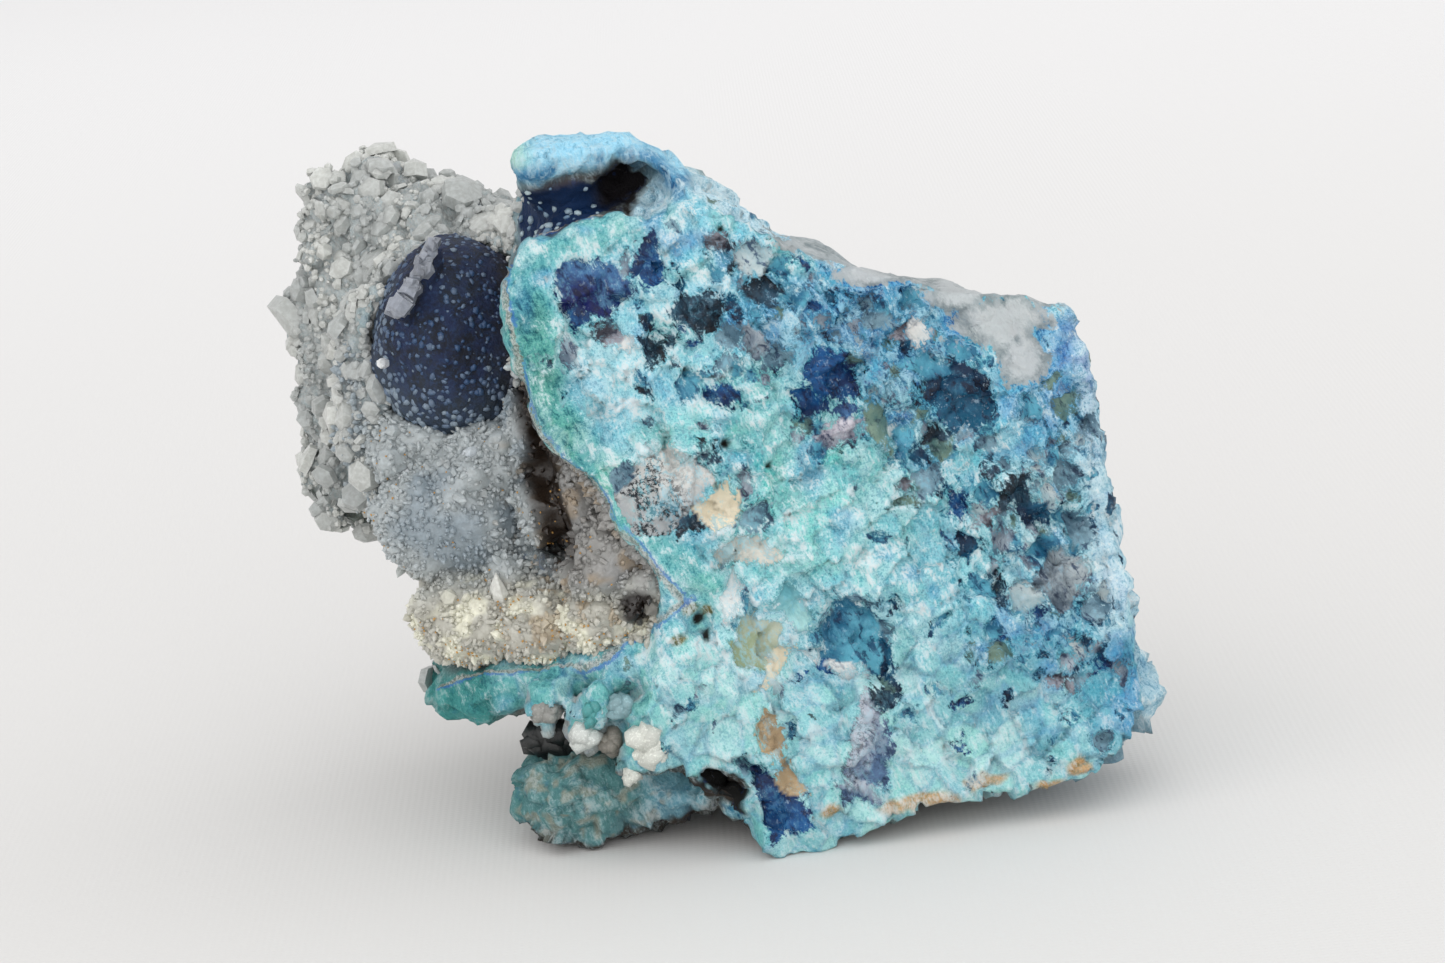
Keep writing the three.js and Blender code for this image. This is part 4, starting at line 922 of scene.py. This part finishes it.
def ball_finish():
    """Dark blue with paler specks, veiled by grey and rust where the points say so."""
    ball = Finish("shattuckite")
    fine = ball.noise(0.22, 6, 0.7)
    colour = ball.mix(ball.ramp(ball.noise(0.9, 6, 0.65), 0.4, 0.62), ink(3, 11, 30), ink(10, 30, 68))
    colour = ball.over(colour, ink(40, 70, 112), ball.ramp(fine, 0.48, 0.62), 0.35)
    colour = ball.over(colour, ink(68, 84, 98), ball.value_of("pale"), 0.6)
    colour = ball.over(colour, ink(46, 38, 34), ball.value_of("rust"), 0.8)
    return ball.finish(Base_Color=colour, Roughness=0.7, Normal=ball.bump(fine, 0.25, 0.8))


store(ball_mesh, "pale", ball_pale(ball_points))
store(ball_mesh, "rust", ball_rust(ball_points))
piece("ball", ball_mesh, ball_finish(), "shattuckite_ball")


def quartz_finish(name, grain, span, paler, relief, **sockets):
    """Quartz in the colour that each point carries, with paler specks about grain millimetres wide."""
    quartz = Finish(name)
    tone = quartz.value_of("tone", "Color")
    fine = quartz.noise(grain, 3, 0.6)
    colour = quartz.over(tone, quartz.tinted(tone, paler), quartz.ramp(fine, *span))
    return quartz.finish(Base_Color=colour, Normal=quartz.bump(fine, relief, 0.6), **sockets)


grain_material = quartz_finish(
    "grains", grain=0.15, span=(0.5, 0.68), paler=(1.4, 1.4, 1.4, 1.0), relief=0.08, Roughness=0.4
)


def spread(points, size, seed):
    """Numbers of evenly scattered points: in each cell of a jittered lattice, the one nearest to the
    cell's middle."""
    near, _, own, _ = cells(points, size, seed)
    order = np.argsort(near)
    order = order[near[order] < 0.3 * size]
    return order[np.unique(own[order], return_index=True)[1]]


def axes_from(axes, pick):
    """For each given axis, a random side at right angles to it, the side across both, and the axis."""
    axes = axes / np.linalg.norm(axes, axis=1)[:, None]
    side = np.cross(axes, pick.normal(size=axes.shape))
    side /= np.linalg.norm(side, axis=1)[:, None]
    return np.stack([side, np.cross(axes, side), axes], axis=1)


def joined(name, roots, shapes, turned, faces, tones, material, smooth):
    """One mesh of many small shapes. Each point is its shape's root plus the sum of the shape's three
    axes, each times the point's coordinate along it."""
    points = roots[:, None] + np.einsum("sci,sij->scj", shapes, turned)
    count, corners = points.shape[:2]
    mesh = bpy.data.meshes.new(name)
    every = [tuple(corners * n + corner for corner in face) for n in range(count) for face in faces]
    mesh.from_pydata(((points.reshape(-1, 3) + DATUM) * MM).tolist(), [], every)
    store(mesh, "tone", np.repeat(tones, corners, axis=0))
    return piece(name, mesh, material, smooth=smooth)


def grains(name, roots, axes, sizes, tones, seed, flat=0.75):
    """Joined rounded grains: each is a twelve-cornered ball, a little flat along its axis, with its
    corners moved at random."""
    pick = np.random.default_rng(seed)
    work = bmesh.new()
    bmesh.ops.create_icosphere(work, subdivisions=1, radius=1.0)
    ball = np.array([v.co[:] for v in work.verts])
    faces = [[v.index for v in face.verts] for face in work.faces]
    work.free()
    turned = axes_from(axes, pick)
    shapes = ball * pick.uniform(0.8, 1.15, (len(roots), len(ball), 1)) * sizes[:, None, None]
    wide = pick.uniform(0.8, 1.25, len(roots))
    shapes = shapes * np.stack([wide, 1 / wide, np.full(len(roots), flat)], axis=1)[:, None]
    return joined(name, roots, shapes, turned, faces, tones, grain_material, True)


def blend(a, b, share):
    """Rows of colours from a to b, one for each share."""
    return np.array(a[:3]) + np.clip(share, 0, 1)[:, None] * (np.array(b[:3]) - np.array(a[:3]))


pick = np.random.default_rng(301)
chosen = spread(ball_points, BALL_GRAIN_CELL, 303)
arm = ball_points[chosen] - BLADE_FOOT
arm -= np.clip(arm @ BLADE_AXIS, 0, BLADE_LONG)[:, None] * BLADE_AXIS
chosen = chosen[np.linalg.norm(arm, axis=1) > BLADE_WIDE + 0.2]  # none lies under the blade
at, out = ball_points[chosen], ball_normals[chosen]
veil = ball_pale(at)
tones = blend(ink(44, 70, 104), ink(118, 132, 144), 0.8 * veil + pick.normal(0.10, 0.22, len(at)))
tones = laid(tones, [(ball_rust(at) * 0.7, (84, 72, 62))])
sizes = np.clip(0.16 + 0.13 * veil + pick.normal(0, 0.05, len(at)), 0.07, 0.38)
grains("ball_grains", at - out * 0.05, out, sizes, tones, 305, 0.6)

skin, skin_out = points_of(breccia.data), normals_of(breccia.data)
share = np.empty(len(skin), np.float32)
breccia.data.attributes["dome"].data.foreach_get("value", share)
on_dome = np.flatnonzero(share > 0.6)
chosen = on_dome[spread(skin[on_dome], DOME_GRAIN_CELL, 321)]
sizes = np.clip(pick.normal(0.20, 0.07, len(chosen)), 0.07, 0.40)
tones = blend(ink(66, 100, 132), ink(158, 174, 178), pick.uniform(0, 1, len(chosen)))
grains("dome_grains", skin[chosen], skin_out[chosen], sizes, tones, 323)

# ------------------------------------------------------------------ the vug's druse
# Small grey quartz crystals line the vug under and beside the ball. They grew on lumps of the
# crust, with rust in the cleft between the lumps and on the pale ledge below.
DRUSE_CELL = 0.24  # mm

druse_mesh = even_copy("vug_druse", DRUSE_CELL)
soften(druse_mesh, 6)
druse_points, druse_normals = points_of(druse_mesh), normals_of(druse_mesh)
druse_lift = 0.30 + 0.30 * facets(druse_points, 0.75, 111) + 0.12 * noise(druse_points, 1.8, 113)
druse_lift -= 1.5 * close_to(CLEFT, druse_points, 1.3, 0.4)
set_points(druse_mesh, druse_points + druse_normals * druse_lift[:, None])


def vug_colour(points):
    """Colour of the druse at each point: grey with a blue cast, pale and creamy on the ledge, browner
    towards the cleft at the right, and dark brown in it, which is rust brown darkened by painted
    shade; a nearly black spot in one hole is painted shade."""
    x, _, z = points.T
    ledge = ease(noise(points, 1.0, 122), 0.1, 0.5)
    rusty = ease(noise(points, 0.9, 123), 0.30, 0.62)
    return laid(rgb(156, 162, 163), [
        (ease(noise(points, 2.2, 121), -0.1, 0.6) * 0.8, (124, 136, 144)),
        (ease(z, 17.5, 15.0), (168, 166, 156)),
        (ease(z, 17.5, 14.5) * ledge, (206, 204, 186)),
        (ease(x, -11.8, -9.6) * ease(z, 15.5, 17.5) * 0.7, (124, 118, 112)),
        (rusty * ease(x, -15.0, -12.0) * 0.5, (150, 126, 92)),
        # In the cleft: rust brown darkened by painted shade.
        (close_to(CLEFT, points, 1.4, 0.8) * ease(z, 17.2, 18.0), (34, 25, 18)),
        # Painted shade: a nearly black spot in a hole of the druse.
        (ease(np.hypot(x + 5.6, z - 15.3), 1.3, 0.7), (22, 15, 11)),
    ])


store(druse_mesh, "tone", vug_colour(druse_points))


druse_material = quartz_finish(
    "druse",
    grain=0.3,
    span=(0.35, 0.7),
    paler=(1.25, 1.26, 1.28, 1.0),
    relief=0.1,
    Roughness=0.3,
    Subsurface_Weight=0.35,
    Subsurface_Scale=0.7 * MM,
    Subsurface_Radius=(1.0, 1.0, 1.0),
)
piece("druse", druse_mesh, druse_material, "vug_druse")


def crystals(name, roots, axes, widths, lengths, tones, seed):
    """Joined quartz points. Each is a six-sided prism that narrows a little, under a six-sided point
    whose tip is off its axis. Its root is sunk a third of its length."""
    pick = np.random.default_rng(seed)
    count = len(roots)
    turn = np.arange(6) * math.pi / 3
    ring = np.stack([np.cos(turn), np.sin(turn), np.zeros(6)], axis=1)
    shape = np.concatenate([ring + [0, 0, -0.35], ring * [0.92, 0.92, 1] + [0, 0, 0.5], [[0, 0, 1.0]]])
    shapes = np.tile(shape, (count, 1, 1))
    shapes[:, 12, :2] += pick.uniform(-0.35, 0.35, (count, 2))
    shapes[:, 6:12, 2] += pick.uniform(-0.12, 0.12, (count, 6))
    turned = axes_from(axes, pick)
    shapes = shapes * np.stack([widths, widths * pick.uniform(0.7, 1.0, count), lengths], axis=1)[:, None]
    walls = [(i, (i + 1) % 6, 6 + (i + 1) % 6, 6 + i) for i in range(6)]
    caps = [(6 + i, 6 + (i + 1) % 6, 12) for i in range(6)]
    faces = walls + caps + [(5, 4, 3, 2, 1, 0)]
    return joined(name, roots, shapes, turned, faces, tones, druse_material, False)


def coat(name, mesh, share, colour_of, count, width, seed, lean=0.5, long=(1.4, 2.4)):
    """Crystals scattered over a mesh, most where share, from 0 to 1, is high. width is a usual
    half-width, long the range of length over half-width, and lean how far they stray from upright."""
    pick = np.random.default_rng(seed)
    points, normals = points_of(mesh), normals_of(mesh)
    chosen = pick.choice(len(points), size=count, replace=False, p=share / share.sum())
    roots = points[chosen]
    axes = normals[chosen] + pick.normal(scale=lean, size=(count, 3))
    widths = width * np.exp(pick.normal(scale=0.35, size=count))
    lengths = widths * pick.uniform(*long, count)
    roots[:, 2] = np.maximum(roots[:, 2], 1.2)
    return crystals(name, roots, axes, widths, lengths, colour_of(roots), seed + 1)


near_cleft = close_to(CLEFT, druse_points, 1.4, 0.7)
coat("druse_points", druse_mesh, 1 - 0.93 * near_cleft, vug_colour, count=6500, width=0.145, seed=201)

# ------------------------------------------------------------------ the quartz of the far left
# Milky quartz crystals that cover the rock's mass behind the ball: short stout ones among many
# small points. They grew on the rock and lean every way.
sx, sy, sz = skin.T
far_left = 1e-9 + ease(sx, -6.0, -13.0) * ease(sy, 11.5, 14.5) * ease(sz, 4.0, 8.0)


def quartz_colour(points):
    """Milky grey, warmer in places."""
    cloud = ease(noise(points, 2.6, 131), -0.4, 0.5)
    return blend(ink(154, 157, 155), ink(182, 183, 178), cloud)


coat(
    "quartz_points", breccia.data, far_left, quartz_colour,
    count=5200, width=0.21, seed=211, lean=0.5, long=(0.7, 1.2),
)
coat(
    "quartz_lumps", breccia.data, far_left, quartz_colour,
    count=1100, width=0.62, seed=213, lean=0.3, long=(0.4, 0.65),
)

# ------------------------------------------------------------------ the vug's other crystals
# Small points that line the rock's own walls inside the vug, and the few larger crystals that
# stand out of the druse, on the pale ledge and beside the ball.
in_vug = ease(sy - front_of(sx, sz), 0.6, 1.2) * ease(sx, -2.8, -3.8) * band(sz, 12.0, 13.0, 28.0, 31.0)
in_vug *= ease(sy, 20.0, 16.0) * (1 - 0.9 * close_to(CLEFT, skin, 1.6, 0.9))
coat("vug_points", breccia.data, in_vug + 1e-9, vug_colour, count=3600, width=0.15, seed=221)

LARGE = [  # root, direction, half-width, length and colour
    ((-13.9, 6.9, 14.8), (0.05, -0.45, 1.0), 0.62, 2.6, ink(196, 196, 190)),
    ((-14.9, 7.6, 14.6), (-0.3, -0.5, 1.0), 0.45, 1.8, ink(186, 188, 184)),
    ((-12.4, 6.2, 14.4), (0.3, -0.5, 1.0), 0.42, 1.5, ink(200, 198, 186)),
    ((-18.7, 10.6, 22.2), (-0.2, -0.8, 0.6), 0.55, 1.4, ink(226, 228, 230)),
    ((-20.3, 13.9, 24.6), (-0.5, -0.7, 0.3), 0.75, 1.3, ink(204, 206, 206)),
    ((-14.8, 9.3, 23.6), (0.1, -0.9, 0.4), 0.70, 1.2, ink(190, 196, 200)),
    ((-12.4, 9.2, 21.5), (0.2, -0.9, 0.2), 0.34, 0.9, ink(214, 218, 220)),
    ((-15.0, 7.9, 22.8), (0.0, -0.9, 0.3), 0.30, 0.8, ink(214, 218, 220)),
    ((-19.5, 11.0, 29.4), (-0.3, -0.9, 0.2), 0.34, 0.8, ink(214, 216, 216)),
]

roots, axes, widths, lengths, tones = (np.array([row[n] for row in LARGE]) for n in range(5))
crystals("large_crystals", roots, axes, widths, lengths, tones[:, :3], 231)

# ------------------------------------------------------------------ the blade on the ball
# A bar of clear grey quartz across the ball's upper left. It is a row of crystals grown together,
# stoutest near its foot.
IN_BLADE = 24
pick = np.random.default_rng(251)
along = np.linspace(0.08, 0.86, IN_BLADE)
roots = BLADE_FOOT + along[:, None] * BLADE_LONG * BLADE_AXIS + pick.normal(scale=0.14, size=(IN_BLADE, 3))
axes = BLADE_AXIS * pick.choice([-1, 1], (IN_BLADE, 1)) + pick.normal(scale=0.35, size=(IN_BLADE, 3))
widths = BLADE_WIDE * np.interp(along, [0, 0.15, 0.5, 1], [0.7, 0.85, 0.55, 0.4])
widths = widths * pick.uniform(0.8, 1.1, IN_BLADE)
tones = rgb(122, 126, 134) * pick.uniform(0.75, 1.25, (IN_BLADE, 1))
crystals("blade", roots, axes, widths, widths * pick.uniform(1.2, 2.0, IN_BLADE), tones, 253)

# ------------------------------------------------------------------ the hanging quartz
# Clumps of rounded quartz under the shelf and at the slab's lower left corner, some stained green.
# Two nearly black clumps on the lobe behind the shelf's tip are painted shade that fills the dark
# gap there. Each clump is a few grains grown into one another.
CHUNKS = [  # middle, half sizes, colour
    ((-5.9, 0.3, 7.2), (1.1, 0.9, 1.9), ink(198, 200, 192)),
    ((-6.9, 0.8, 5.6), (0.6, 0.5, 0.7), ink(190, 192, 184)),
    ((-9.5, 2.0, 7.9), (0.9, 0.7, 1.1), ink(190, 194, 190)),
    ((-8.0, 1.8, 7.2), (0.6, 0.6, 1.1), ink(112, 108, 100)),
    ((-11.8, 3.9, 9.0), (1.0, 0.7, 0.8), ink(132, 132, 128)),
    ((-8.9, 1.4, 9.3), (0.6, 0.5, 1.0), ink(72, 142, 142)),
    # Painted shade: these two nearly black clumps fill the shaded gap between the shelf and the lobe.
    ((-12.2, 7.0, 6.3), (1.2, 1.0, 1.0), ink(22, 24, 24)),
    ((-10.9, 6.4, 6.6), (1.2, 1.0, 1.1), ink(22, 24, 24)),
    ((-7.2, 1.2, 9.6), (0.7, 0.6, 0.8), ink(120, 150, 156)),
]
pick = np.random.default_rng(233)
IN_CHUNK = 14
middles = np.repeat([row[0] for row in CHUNKS], IN_CHUNK, axis=0)
halves = np.repeat([row[1] for row in CHUNKS], IN_CHUNK, axis=0)
tones = np.repeat([row[2][:3] for row in CHUNKS], IN_CHUNK, axis=0)
tones = tones * pick.uniform(0.85, 1.1, (len(middles), 1))
roots = middles + halves * pick.uniform(-0.45, 0.45, (len(middles), 3))
axes = pick.normal(size=(len(middles), 3))
sizes = halves.min(axis=1) * pick.uniform(0.85, 1.15, len(middles))
grains("hanging_quartz", roots, axes, sizes, tones, 237)

# ------------------------------------------------------------------ the rust on the druse
# Tiny golden grains of iron oxide that settled on the druse, thickest on the ledge and beside the
# cleft.
RUST_GRAINS = 900
rusty = ease(druse_points[:, 2], 18.0, 13.0) + 0.3 * near_cleft + 0.3
rusty *= ease(noise(druse_points, 2.0, 241), -0.3, 0.5)
pick = np.random.default_rng(243)
chosen = pick.choice(len(druse_points), RUST_GRAINS, replace=False, p=rusty / rusty.sum())
at = points_of(druse_mesh)[chosen] + 0.14 * druse_normals[chosen]
sizes = np.random.default_rng(245).uniform(0.04, 0.09, len(at))
tones = np.tile(rgb(176, 134, 72), (len(at), 1))
grains("rust_grains", at, druse_normals[chosen], sizes, tones, 247)
